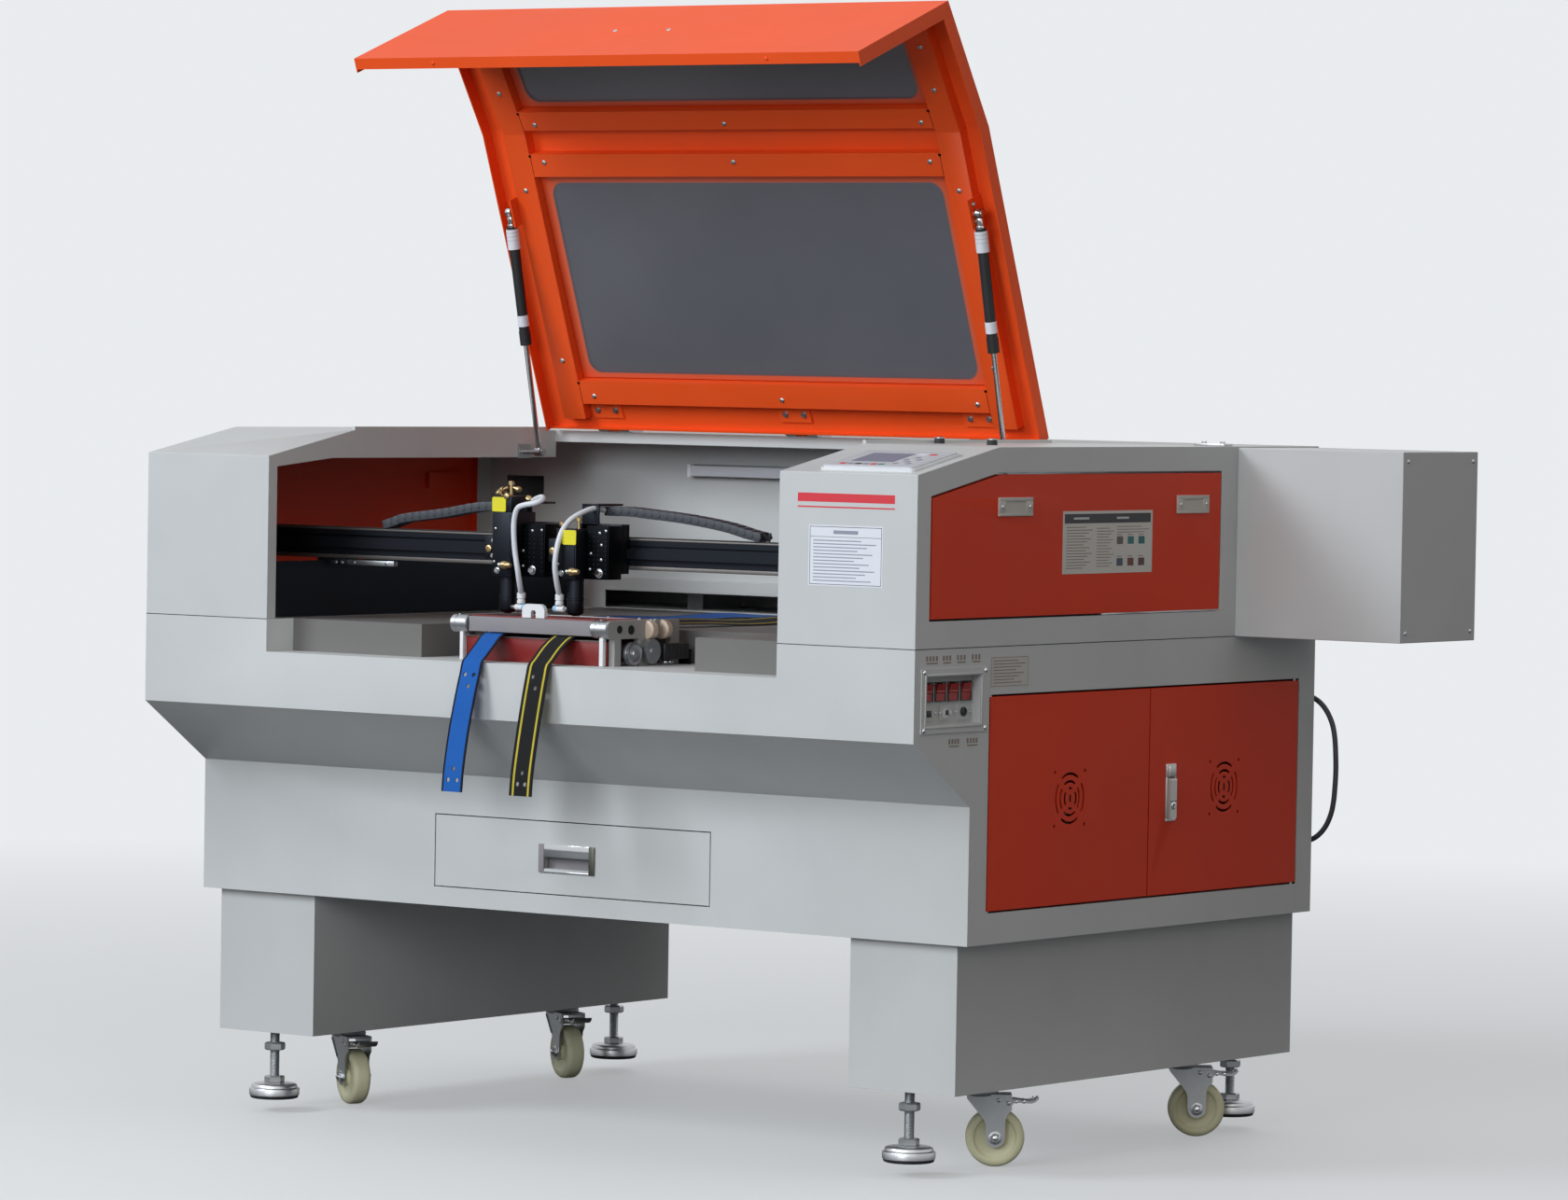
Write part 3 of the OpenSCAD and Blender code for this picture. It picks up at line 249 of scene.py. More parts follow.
white_plastic = plastic("white_plastic", "E6E8EA", 0.4)
lamp_cover = plastic("lamp_cover", "DADCE4", 0.35)
window = plastic("window", "5C5E63", 0.3)

CAD_FINISH = {
    "upper_body": grey_paint, "cabinet": grey_paint, "tube_cover": grey_paint, "switch_plate": grey_paint,
    "work_table": bed_paint, "drawer": grey_paint, "lid_shell": orange_paint, "lid_windows": window,
    "hatch_right": red_paint, "hatch_left": red_paint, "door_front": red_paint, "door_rear": red_paint,
    "laser_tube": lamp_cover, "electrics": lamp_cover, "y_rails": black_alu, "gantry_beam": black_alu,
    "head_1": black_alu, "head_2": black_alu, "feeder_frame": alu, "feed_roller": alu,
    "energy_chain_1": black_plastic, "energy_chain_2": black_plastic, "cable_loop": black_plastic,
    "control_panel": white_plastic, "door_handle": chromed, "lid_fittings": orange_paint,
}
STEMS = {"wheel": nylon, "rocker": red_plastic, "strut_tube": black_plastic, "strut_rod": chromed}
for name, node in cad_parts.items():
    look = CAD_FINISH.get(name)
    for stem, stem_look in STEMS.items():
        if look is None and name.startswith(stem):
            look = stem_look
    node.data.materials.clear()
    node.data.materials.append(look or zinc)


# ---- pieces --------------------------------------------------------------------------------------
def placed(name, bm, looks, smooth=35.0):
    """An object from a finished bmesh, its edges sharp past smooth degrees."""
    mesh = bpy.data.meshes.new(name)
    bm.to_mesh(mesh)
    bm.free()
    for look in looks:
        mesh.materials.append(look)
    mesh.shade_smooth()
    mesh.set_sharp_from_angle(angle=math.radians(smooth))
    item = bpy.data.objects.new(name, mesh)
    scene.collection.objects.link(item)
    return item


class Piece:
    """One separate thing, drawn in machine millimetres, or in its own and moved by turn."""

    def __init__(self, name, body=BODY, turn=None):
        self.name, self.body, self.turn = name, body, turn
        self.bm = bmesh.new()
        self.looks = []

    def _close(self, verts, look, edge=0.0):
        if look not in self.looks:
            self.looks.append(look)
        index = self.looks.index(look)
        for face in {f for v in verts for f in v.link_faces}:
            face.material_index = index
        if edge > 0.0:
            edges = [e for v in verts for e in v.link_edges if e.is_manifold and e.calc_face_angle(0.0) > 0.5]
            made = bmesh.ops.bevel(self.bm, geom=list(dict.fromkeys(edges)), offset=edge, segments=2,
                                   profile=0.5, affect="EDGES", clamp_overlap=True)
            for face in made["faces"]:
                face.material_index = index

    def _ring(self, centre, side, other, r, n):
        ways = (round_about(360.0 * k / n) for k in range(n))
        return [self.bm.verts.new(centre + (side * c + other * s) * r) for c, s in ways]

    def _skin(self, rings, look, edge=0.0, hollow=False):
        """Faces from ring to ring, with caps or, when hollow, round to the first ring."""
        for low, high in zip(rings, rings[1:] + rings[:1] if hollow else rings[1:]):
            for corners in zip(low, low[1:] + low[:1], high[1:] + high[:1], high):
                self.bm.faces.new(corners)
        if not hollow:
            self.bm.faces.new(rings[0][::-1])
            self.bm.faces.new(rings[-1])
        self._close([v for ring in rings for v in ring], look, edge)

    def block(self, x0, x1, y0, y1, z0, z1, look, edge=0.5):
        made = bmesh.ops.create_cube(self.bm, size=1.0)["verts"]
        for v in made:
            v.co = Vector((x0 if v.co.x < 0 else x1, y0 if v.co.y < 0 else y1, z0 if v.co.z < 0 else z1))
        self._close(made, look, min(edge, 0.3 * min(x1 - x0, y1 - y0, z1 - z0)))

    def turned(self, start, way, profile, look, n=24, hollow=False):
        """A turned solid: profile gives (distance along way, radius) from one end to the other.

        A hollow one is a ring, and its profile goes round: out along the outside, back along the bore."""
        way = Vector(way).normalized()
        side = way.orthogonal().normalized()
        rings = [self._ring(Vector(start) + way * along, side, way.cross(side), r, n) for along, r in profile]
        self._skin(rings, look, hollow=hollow)

    def rod(self, start, end, r, look, n=24, edge=0.6):
        way = Vector(end) - Vector(start)
        e = min(edge, 0.4 * r, 0.4 * way.length)
        half = [(0, r - e), (e * 0.3, r - e * 0.3), (e, r)]
        self.turned(start, way, mirrored(half, way.length), look, n)

    def hexagon(self, start, end, r, look):
        way = Vector(end) - Vector(start)
        e = 0.12 * r
        self.turned(start, way, mirrored([(0, r - e), (e, r)], way.length), look, 6)

    def tube(self, points, r, look, n=12):
        """A hose or cable along points, smoothed between them."""
        line = smooth_line([Vector(p) for p in points])
        rings, side = [], None
        for i, p in enumerate(line):
            way = (line[min(i + 1, len(line) - 1)] - line[max(i - 1, 0)]).normalized()
            side = way.orthogonal() if side is None else side
            side = (side - way * side.dot(way)).normalized()
            rings.append(self._ring(p, side, way.cross(side), r, n))
        self._skin(rings, look)

    def sheet(self, outline, frame_of, thick, look, edge=0.3):
        """A flat plate: its outline in the plane of frame_of = (corner, along, up), thick along the
        normal."""
        corner, along, up = (Vector(v) for v in frame_of)
        depth = along.cross(up).normalized() * thick
        low = [self.bm.verts.new(corner + along * u + up * v) for u, v in outline]
        high = [self.bm.verts.new(v.co + depth) for v in low]
        self._skin([low, high], look, edge)

    def done(self, smooth=35.0):
        if self.turn is not None:
            self.bm.transform(self.turn)
        for v in self.bm.verts:
            v.co = (v.co - ORIGIN) / 1000.0
        bmesh.ops.recalc_face_normals(self.bm, faces=self.bm.faces)
        item = placed(self.name, self.bm, self.looks, smooth)
        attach(item, self.body)
        return item


def mirrored(half, length):
    """A turned profile of that length from its first half."""
    return half + [(length - along, r) for along, r in reversed(half)]


def smooth_line(points, steps=6):
    """The points with a smooth curve through them."""
    if len(points) < 3:
        return points
    ends = [2 * points[0] - points[1]] + points + [2 * points[-1] - points[-2]]
    line = []
    for a, b, c, d in zip(ends, ends[1:], ends[2:], ends[3:]):
        for k in range(steps):
            t = k / steps
            line.append(0.5 * ((2 * b) + (c - a) * t + (2 * a - 5 * b + 4 * c - d) * t * t
                               + (3 * b - 3 * c + d - a) * t * t * t))
    return line + [points[-1]]


def rectangle(u0, u1, v0, v1):
    return [(u0, v0), (u1, v0), (u1, v1), (u0, v1)]


def rounded_outline(w, h, r, centre=(0.0, 0.0), n=5):
    """A rectangle about its centre with rounded corners."""
    out = []
    for i, (across, up) in enumerate(((1, 1), (-1, 1), (-1, -1), (1, -1))):
        for k in range(n + 1):
            u, v = round_about(90 * (i + k / n), r)
            out.append((centre[0] + across * (w / 2 - r) + u, centre[1] + up * (h / 2 - r) + v))
    return out


def rounded_casing(node, name, look, width, body=BODY):
    """A sheet metal node with its bends and edges rounded, in place of the sharp one."""
    bm = bmesh.new()
    bm.from_mesh(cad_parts[node].data)
    bmesh.ops.remove_doubles(bm, verts=bm.verts, dist=1e-6)
    bmesh.ops.dissolve_limit(bm, angle_limit=math.radians(1.0), verts=bm.verts, edges=bm.edges)
    item = placed(name, bm, [look], 40.0)
    bend = item.modifiers.new("bend", "BEVEL")
    bend.width, bend.segments = width / 1000.0, 2
    bend.limit_method, bend.angle_limit = "ANGLE", math.radians(40.0)
    bend.harden_normals = bend.use_clamp_overlap = True
    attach(item, body)
    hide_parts(node)


# ---- repeated fixings ----------------------------------------------------------------------------
def spread_tree():
    """Puts a unit on every point, its Z along the point's facing and its X along its lie."""
    tree = bpy.data.node_groups.new("spread", "GeometryNodeTree")
    for label, kind in (("Geometry", "Geometry"), ("Unit", "Object"), ("Scale", "Float"),
                        ("Finish", "Material")):
        tree.interface.new_socket(label, in_out="INPUT", socket_type="NodeSocket" + kind)
    tree.interface.new_socket("Geometry", in_out="OUTPUT", socket_type="NodeSocketGeometry")
    given = tree.nodes.new("NodeGroupInput").outputs

    def named(attribute, kind="FLOAT_VECTOR"):
        node = add_node(tree, "GeometryNodeInputNamedAttribute", {"data_type": kind}, Name=attribute)
        return node.outputs["Attribute"]

    unit = add_node(tree, "GeometryNodeObjectInfo", Object=given["Unit"])
    face = add_node(tree, "FunctionNodeAlignRotationToVector", {"axis": "Z"}, Vector=named("facing"))
    lie = add_node(tree, "FunctionNodeAlignRotationToVector", {"axis": "X", "pivot_axis": "Z"},
                   Rotation=face.outputs[0], Vector=named("lie"))
    size = add_node(tree, "ShaderNodeMath", {"operation": "MULTIPLY"}, n_0=named("size", "FLOAT"),
                    n_1=given["Scale"])
    put = add_node(tree, "GeometryNodeInstanceOnPoints", Points=given["Geometry"],
                   Instance=unit.outputs["Geometry"], Rotation=lie.outputs[0], Scale=size.outputs[0])
    real = add_node(tree, "GeometryNodeRealizeInstances", n_0=put.outputs[0])
    coat = add_node(tree, "GeometryNodeSetMaterial", Geometry=real.outputs[0], Material=given["Finish"])
    add_node(tree, "NodeGroupOutput", n_0=coat.outputs[0])
    return tree


SPREAD = spread_tree()
UNITS = []


def settle(item):
    """What an object's modifiers make, as a plain mesh on the same object."""
    bpy.context.view_layer.update()
    ready = item.evaluated_get(bpy.context.evaluated_depsgraph_get())
    old, item.data = item.data, bpy.data.meshes.new_from_object(ready)
    item.modifiers.clear()
    bpy.data.meshes.remove(old)
    item.data.name = item.name


def spread(name, body, unit, look, places, smooth=35.0):
    """Units at places = [(point in machine millimetres, facing, size)] or with a fourth value, their lie."""
    mesh = bpy.data.meshes.new(name + "_points")
    mesh.from_pydata([at(*place[0]) for place in places], [], [])
    for label, kind in (("facing", "FLOAT_VECTOR"), ("lie", "FLOAT_VECTOR"), ("size", "FLOAT")):
        mesh.attributes.new(label, kind, "POINT")
    for i, (_, facing, size, *lie) in enumerate(places):
        facing = Vector(facing)
        mesh.attributes["facing"].data[i].vector = facing.normalized()
        mesh.attributes["lie"].data[i].vector = (lie[0] if lie else facing.orthogonal()).normalized()
        mesh.attributes["size"].data[i].value = size
    item = bpy.data.objects.new(name, mesh)
    scene.collection.objects.link(item)
    repeat = item.modifiers.new("repeat", "NODES")
    repeat.node_group = SPREAD
    inputs = {"Unit": unit, "Scale": 0.001, "Finish": look}
    for socket in SPREAD.interface.items_tree:
        if socket.name in inputs:
            repeat[socket.identifier] = inputs[socket.name]
    settle(item)
    item.data.materials.clear()
    item.data.materials.append(look)
    item.data.set_sharp_from_angle(angle=math.radians(smooth))
    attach(item, body)
    return item


def unit_of(draw):
    """A unit drawn about 0, 0, 0 in its own size, standing on its back, for use on many places."""
    piece = Piece(draw.__name__)
    draw(piece)
    bmesh.ops.recalc_face_normals(piece.bm, faces=piece.bm.faces)
    UNITS.append(placed(piece.name, piece.bm, []))
    return UNITS[-1]


# ---- casing and panels ---------------------------------------------------------------------------
for node, look, width, body in (
        ("upper_body", grey_paint, 1.0, BODY), ("cabinet", grey_paint, 1.0, BODY),
        ("tube_cover", grey_paint, 1.2, BODY), ("drawer", grey_paint, 0.8, "drawer"),
        ("hatch_right", red_paint, 1.2, "hatch_right"), ("hatch_left", red_paint, 1.2, "hatch_left"),
        ("door_front", red_paint, 1.2, "door_front"), ("door_rear", red_paint, 1.2, "door_rear"),
        ("lid_shell", orange_paint, 1.2, "lid")):
    rounded_casing(node, node + "_panel", look, width, body)

# ---- screws --------------------------------------------------------------------------------------
def pan_head(p):
    """Cross recessed screw, 1 across its radius."""
    p.turned((0, 0, -0.3), UP, [(0, 1.0), (0.42, 1.0), (0.6, 0.9), (0.78, 0.62), (0.86, 0.3)], zinc, 14)
    for half_x, half_y in ((0.5, 0.11), (0.11, 0.5)):
        p.block(-half_x, half_x, -half_y, half_y, 0.3, 0.6, screw_dark, 0.0)


def hex_head(p):
    """Hexagon bolt on its washer, 1 across its radius."""
    p.turned((0, 0, -0.3), UP, [(0, 1.25), (0.42, 1.25), (0.45, 1.1)], zinc, 18)
    p.hexagon((0, 0, 0.1), (0, 0, 0.9), 1.0, zinc)


PAN, HEX = unit_of(pan_head), unit_of(hex_head)

# ---- lid -----------------------------------------------------------------------------------------
SLOPE = math.atan(38.0 / 196.0)
HINGE = Vector((0.0, 678.216, 1031.0))
LID_TURN = (Matrix.Translation(HINGE) @ Matrix.Rotation(-math.radians(69.4), 4, "X")
            @ Matrix.Translation(-HINGE))
LID_BACK, LID_TOP = HINGE.y - 4.0, 1026.0
LID_FLAT, LID_SLOPED = 481.0, 207.0
RAIL_X, RAIL_WIDTH, RAIL_DEEP = 278.0, 42.0, 20.0
LID_HINGES = (352.5, 709.2, 1047.5)
WINDOW_X0, WINDOW_X1, WINDOW_INSET = 322.0, 1078.0, 2.1


def lid_flat(x, s, h=0.0):
    """A point of the open lid: s from its back edge, h below its outer skin."""
    return LID_TURN @ Vector((x, LID_BACK - s, LID_TOP - h))


def lid_sloped(x, s, h=0.0):
    """The same on its sloping panel, s from the bend."""
    y = LID_BACK - LID_FLAT - s * math.cos(SLOPE) + h * math.sin(SLOPE)
    return LID_TURN @ Vector((x, y, LID_TOP - s * math.sin(SLOPE) - h * math.cos(SLOPE)))


def lid_front(x, s, h=0.0):
    """The same on its front panel, s down from the edge."""
    y = LID_BACK - LID_FLAT - LID_SLOPED * math.cos(SLOPE) + h
    return LID_TURN @ Vector((x, y, LID_TOP - LID_SLOPED * math.sin(SLOPE) - s))


def ways_of(point):
    """Along one of the lid's panels, and into it."""
    return (point(0, 10) - point(0, 0)).normalized(), (point(0, 0, 10) - point(0, 0)).normalized()


(FLAT_ALONG, FLAT_IN), (SLOPE_ALONG, SLOPE_IN), (LIP_ALONG, LIP_IN) = (
    ways_of(point) for point in (lid_flat, lid_sloped, lid_front))


def window_finish(name, centre, up, half):
    """Smoked acrylic, with the orange skin showing through it round a clear field of these half sizes."""
    radius = 0.022
    f = Finish(name)
    x, y, z = f.xyz()
    cx, cy, cz = at(*centre)
    across = (x - cx).size() - (half[0] - radius)
    along = ((y - cy) * up.y + (z - cz) * up.z).size() - (half[1] - radius)
    inside = across.most(0.0)
    inside_up = along.most(0.0)
    out = (inside * inside + inside_up * inside_up).root() - radius + across.most(along).least(0.0)
    border = out.ramp(-0.001, 0.0015)
    haze = f.noise(5.0, 3.0, 0.6)
    fine = f.noise(260.0, 3.0, 0.6)
    smoke = f.mix(haze.ramp(0.2, 0.8), lin("55575F"), lin("5F6068"))
    glow = f.mix(out.ramp(0.0, 0.02), lin("D0603F"), lin("DE4C22"))
    return f.set(Base_Color=f.mix(border, smoke, glow), Roughness=0.42 - 0.08 * haze + 0.06 * fine,
                 Alpha=1.0 - 0.14 * (1.0 - border), Coat_Weight=0.2, Coat_Roughness=0.2)


def lid_windows():
    """Two panes under the skin, each with its middle and length, and those of its clear field."""
    panes = Piece("window_panes", "lid")
    middle_x = (WINDOW_X0 + WINDOW_X1) / 2
    for name, point, along, s, length, field_s, field_half in (
            ("window_main", lid_flat, FLAT_ALONG, 247, 326, 245, 153),
            ("window_front", lid_sloped, SLOPE_ALONG, 111.5, 137, 108, 57)):
        look = window_finish(name, point(middle_x, field_s, 3), along, (0.3615, field_half / 1000.0))
        panes.sheet(rounded_outline(WINDOW_X1 - WINDOW_X0, length, 6),
                    (point(middle_x, s, WINDOW_INSET), RIGHT, along), 3.8, look, 0.8)
    item = panes.done()
    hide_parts("lid_windows")


lid_windows()


def lid_seams():
    """Folded inner lips of the side rails, and the open joints where the cross bars meet them, as painted
    shade.
    """
    p = Piece("lid_seams", "lid")
    flat, sloped = (lid_flat, FLAT_ALONG, FLAT_IN), (lid_sloped, SLOPE_ALONG, SLOPE_IN)
    for x, way in ((RAIL_X + RAIL_WIDTH, 1), (WIDTH - RAIL_X - RAIL_WIDTH, -1)):
        for (point, lie, into), s0, s1 in ((flat, 83.0, 411.5), (sloped, 42.0, 182.0)):
            p.sheet(rectangle(s0, s1, WINDOW_INSET, RAIL_DEEP - 0.4),
                    (point(min(x, x + 0.5 * way), 0), lie, into), 0.5, orange_paint, 0.0)
        for (point, lie, _), s0, s1 in ((flat, 46, 81), (flat, 413, 447), (sloped, 10, 40)):
            joint = (point(x + way * 1.2, 0, RAIL_DEEP + 0.05), RIGHT, lie)
            p.sheet(rectangle(-0.5, 0.5, s0, s1), joint, -0.15, seam_dark, 0.0)
            p.sheet(rectangle(-3.0, 2.0, s1 - 4, s1), joint, -0.15, seam_dark, 0.0)
    p.done()
    spread("lid_lip_screws", "lid", PAN, orange_paint,
           [(lid_front(x, 234, 9), LIP_ALONG, 3.2) for x in (388, 998)])


# near-black colour painted as the shade inside the lid's open joints
seam_dark = plastic("seam_dark", "2B0C06", 0.7, shine=0.05)
lid_seams()


def lid_screws():
    places = [(lid_flat(x, s, RAIL_DEEP), FLAT_IN, 4.2) for x in (346, 703, 1059.5) for s in (435, 58)]
    places += [(lid_flat(x, s, RAIL_DEEP), FLAT_IN, 4.2) for x in (299, 1101) for s in (115, 390)]
    places += [(lid_sloped(x, s, RAIL_DEEP), SLOPE_IN, 4.2) for x, s in (
        (346, 19), (703, 19), (1059.5, 19), (299, 73), (299, 143), (1101, 72), (1101, 143))]
    places += [(lid_front(x, 118.5), -LIP_IN, 3.6) for x in (645, 743)]
    spread("lid_screws", "lid", PAN, zinc, places)
    bolts = [(lid_flat(x + dx, 29.5, 5), FLAT_IN, 4.0) for x in LID_HINGES for dx in (-17, 17)]
    for x, way in ((RAIL_X - 2.5, LEFT), (WIDTH - RAIL_X + 2.5, RIGHT)):
        bolts += [(LID_TURN @ Vector((x, HINGE.y - 362 + dy, 1002)), way, 3.6) for dy in (-13, 13)]
    spread("lid_bolts", "lid", HEX, zinc, bolts)


lid_screws()

# ---- webbing -------------------------------------------------------------------------------------
BED, SILL = 748.0, 700.0
WEB_Z = BED - 9.0


def web_line(x_end, x_sill, x_bar, x_slot):
    """From the hanging end up over the sill, the feeder's bars and the bed to the slot at the back."""
    span = x_slot - x_bar
    return [(x_end, -50, 516), (x_end - 1, -45, 550), (x_end - 2, -34, 600), ((x_end + x_sill) / 2, -22, 650),
            (x_sill + 1, -11, 685), (x_sill, -5, SILL), (x_sill, 4, SILL + 8), (x_sill - 1, 24, SILL + 24),
            (x_bar, 46, WEB_Z - 2), (x_bar, 62, WEB_Z + 0.4), (x_bar, 130, WEB_Z + 0.4),
            (x_bar, 215, WEB_Z + 2), (x_bar + 1, 240, BED + 4), (x_bar + 4, 262, BED + 6),
            (x_bar + 10, 300, BED + 3), (x_bar + span * 0.2, 370, BED + 0.5),
            (x_bar + span * 0.6, 590, BED + 0.5), (x_slot, 800, BED + 0.5), (x_slot, 812, BED + 3),
            (x_slot, 850, BED + 4)]


def webbing_finish(name, ground, edge, edge_width, width, stripes=(), stripe_colour=None):
    """Woven band: ribs across it, twill along it, a darker woven edge and dashed lines of thread. Painted
    light and shade: the ribs' crests are lighter and their hollows darker.
    """
    f = Finish(name)
    u, v, _ = f.xyz(f.node("ShaderNodeTexCoord").outputs["UV"])
    side = (u - 0.5) * width
    rib = (v * (2 * math.pi / 1.5)).wave()
    twill = ((side + v * 0.5) * (2 * math.pi / 0.9)).wave()
    thread = f.noise(420.0, 3.0, 0.7)
    soil = f.noise(20.0, 3.0, 0.6)
    # painted light and shade: rib crests lighter, rib hollows darker
    colour = f.mix((rib * 0.5 + 0.5) * 0.55, shade(ground, 0.72), shade(ground, 1.18))
    colour = f.mix(soil.ramp(0.45, 0.8) * 0.25, colour, shade(ground, 0.6))
    border = (side.size() - (width / 2 - edge_width)).ramp(-0.3, 0.3)
    colour = f.mix(border, colour, edge)
    height = rib * 0.5 + twill * 0.2 + thread * 0.6
    for centre, half in stripes:
        dash = ((v + side * 0.6) * (2 * math.pi / 3.2)).wave()
        line = 1.0 - ((side.size() - centre).size() - half).ramp(-0.25, 0.25)
        colour = f.mix(line, colour, f.mix(dash.ramp(-0.5, 0.3), shade(stripe_colour, 0.35), stripe_colour))
        height = height + line * (dash * 0.5 + 1.0)
    return f.set(Base_Color=colour, Roughness=0.62 + 0.12 * thread, Sheen_Weight=0.03,
                 Specular_IOR_Level=0.15, Normal=f.bump(height, 0.00022, 0.75))


def tilt_at(y):
    """How far a band leans over the bed: its left edge rises past the feeder and comes down at the back."""
    return math.radians(10) * min(1.0, max(0.0, (y - 240) / 70), max(0.0, (790 - y) / 160))


def band(name, points, run, width, thick, look):
    """A band along points, with its UV map in widths across and millimetres along."""
    cells, worn_edge = 10, 0.35
    bm = bmesh.new()
    uv = bm.loops.layers.uv.new("UVMap")
    rows = []
    for i, p in enumerate(points):
        way = points[min(i + 1, len(points) - 1)] - points[max(i - 1, 0)]
        along = Vector((0, way.y, way.z)).normalized()
        up = Vector((0, -along.z, along.y))
        tilt = tilt_at(p.y)
        wave = 1.5 - 1.5 * math.cos((p.y - 240) / 36) if tilt else 0
        middle = p + UP * (width / 2 * math.sin(tilt) + wave)
        across = RIGHT * math.cos(tilt) - up * math.sin(tilt)
        up = up * math.cos(tilt) + RIGHT * math.sin(tilt)
        row = []
        for height, inwards in ((0.0, 1), (thick, -1)):
            for k in range(cells + 1):
                rise = height + (inwards * worn_edge if k in (0, cells) else 0.0)
                place = middle + across * (width * (k / cells - 0.5)) + up * rise
                row.append(bm.verts.new((place - ORIGIN) / 1000.0))
        rows.append(row)

    def face(corners, spots):
        made = bm.faces.new(corners)
        for loop, spot in zip(made.loops, spots):
            loop[uv].uv = spot

    n = cells + 1
    for a, b, v0, v1 in zip(rows, rows[1:], run, run[1:]):
        for k in range(cells):
            spots = [(k / cells, v0), ((k + 1) / cells, v0), ((k + 1) / cells, v1), (k / cells, v1)]
            face((a[n + k], a[n + k + 1], b[n + k + 1], b[n + k]), spots)
            face((b[k], b[k + 1], a[k + 1], a[k]), spots[::-1])
        for k, u in ((0, 0.0), (cells, 1.0)):
            spots = [(u, v0), (u, v1), (u, v1), (u, v0)]
            ring = (a[k], b[k], b[n + k], a[n + k])
            face(ring if k else ring[::-1], spots if k else spots[::-1])
    for row, v in ((rows[0], run[0]), (rows[-1], run[-1])):
        for k in range(cells):
            face((row[k], row[k + 1], row[n + k + 1], row[n + k]), [(k / cells, v), ((k + 1) / cells, v)] * 2)
    bmesh.ops.recalc_face_normals(bm, faces=bm.faces)
    return placed(name, bm, [look])


def webbing(name, node, line, width, look, holes):
    """A band 1.6 mm thick along its line, with punched holes at (distance from its end, offset across)."""
    points = smooth_line([Vector(p) for p in line], 9)
    run = [0.0]
    for a, b in zip(points, points[1:]):
        run.append(run[-1] + (b - a).length)
    item = band(name, points, run, width, 1.6, look)
    punch = Piece(name + "_punch")
    for distance, offset in holes:
        i = max(k for k in range(len(run)) if run[k] <= distance)
        way, share = points[i + 1] - points[i], (distance - run[i]) / (run[i + 1] - run[i])
        p = points[i].lerp(points[i + 1], share) + RIGHT * offset
        up = Vector((0, -way.z, way.y)).normalized()
        punch.rod(p - up * 6, p + up * 8, 3.2, look, 16, 0.0)
    cutter = punch.done()
    holes_cut = item.modifiers.new("holes", "BOOLEAN")
    holes_cut.operation, holes_cut.object, holes_cut.solver = "DIFFERENCE", cutter, "EXACT"
    settle(item)
    bpy.data.objects.remove(cutter)
    item.data.shade_smooth()
    item.data.set_sharp_from_angle(angle=math.radians(40.0))
    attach(item, BODY)
    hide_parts(node)


blue_weave = webbing_finish("blue_weave", lin("2266BE"), lin("080C1E"), 3.4, 38.0)
black_weave = webbing_finish("black_weave", lin("18181A"), lin("0C0C0E"), 1.4, 41.0, ((13.6, 1.7),),
                             lin("E6D24A"))
webbing("webbing_blue", "strap_blue", web_line(630, 628, 622.5, 660), 38.0, blue_weave,
        [(17, -8), (17, 8), (33, 0), (154, 2), (171, -8), (171, 8)])
webbing("webbing_black", "strap_black", web_line(755, 750, 748.5, 800), 41.0, black_weave,
        [(17, -6.5), (17, 6.5), (33, 0), (156, 1), (173, -6.5)])

# ---- cable at the back ---------------------------------------------------------------------------
def rear_cable():
    """A loop of grey cable that stands out from the back, in a plane just behind it."""
    route = [(1370.4, 652), (1382, 651), (1394, 646), (1405, 637), (1414, 625), (1421, 610), (1425, 592),
             (1427, 570), (1428, 544), (1427, 518), (1425, 496), (1421, 478), (1414, 462), (1405, 450),
             (1394, 441), (1382, 436), (1370.4, 435)]
    points = [Vector((x, DEPTH + 20.0, z)) for x, z in route]
    f = Finish("cable_sheath")
    fine = f.noise(500.0, 2.0, 0.6)
    wear = f.noise(30.0, 3.0, 0.6)
    f.set(Base_Color=f.mix(wear.ramp(0.4, 0.8) * 0.5, lin("36373B"), lin("4A4B50")),
          Roughness=0.5 + 0.12 * wear, Normal=f.bump(fine, 0.0001, 0.4))
    cable = Piece("rear_cable")
    cable.tube(points, 4.0, f.mat, 14)
    item = cable.done()
    line = smooth_line(points, 4)
    length = sum((b - a).length for a, b in zip(line, line[1:])) / 1000.0
    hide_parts("cable_loop")


rear_cable()


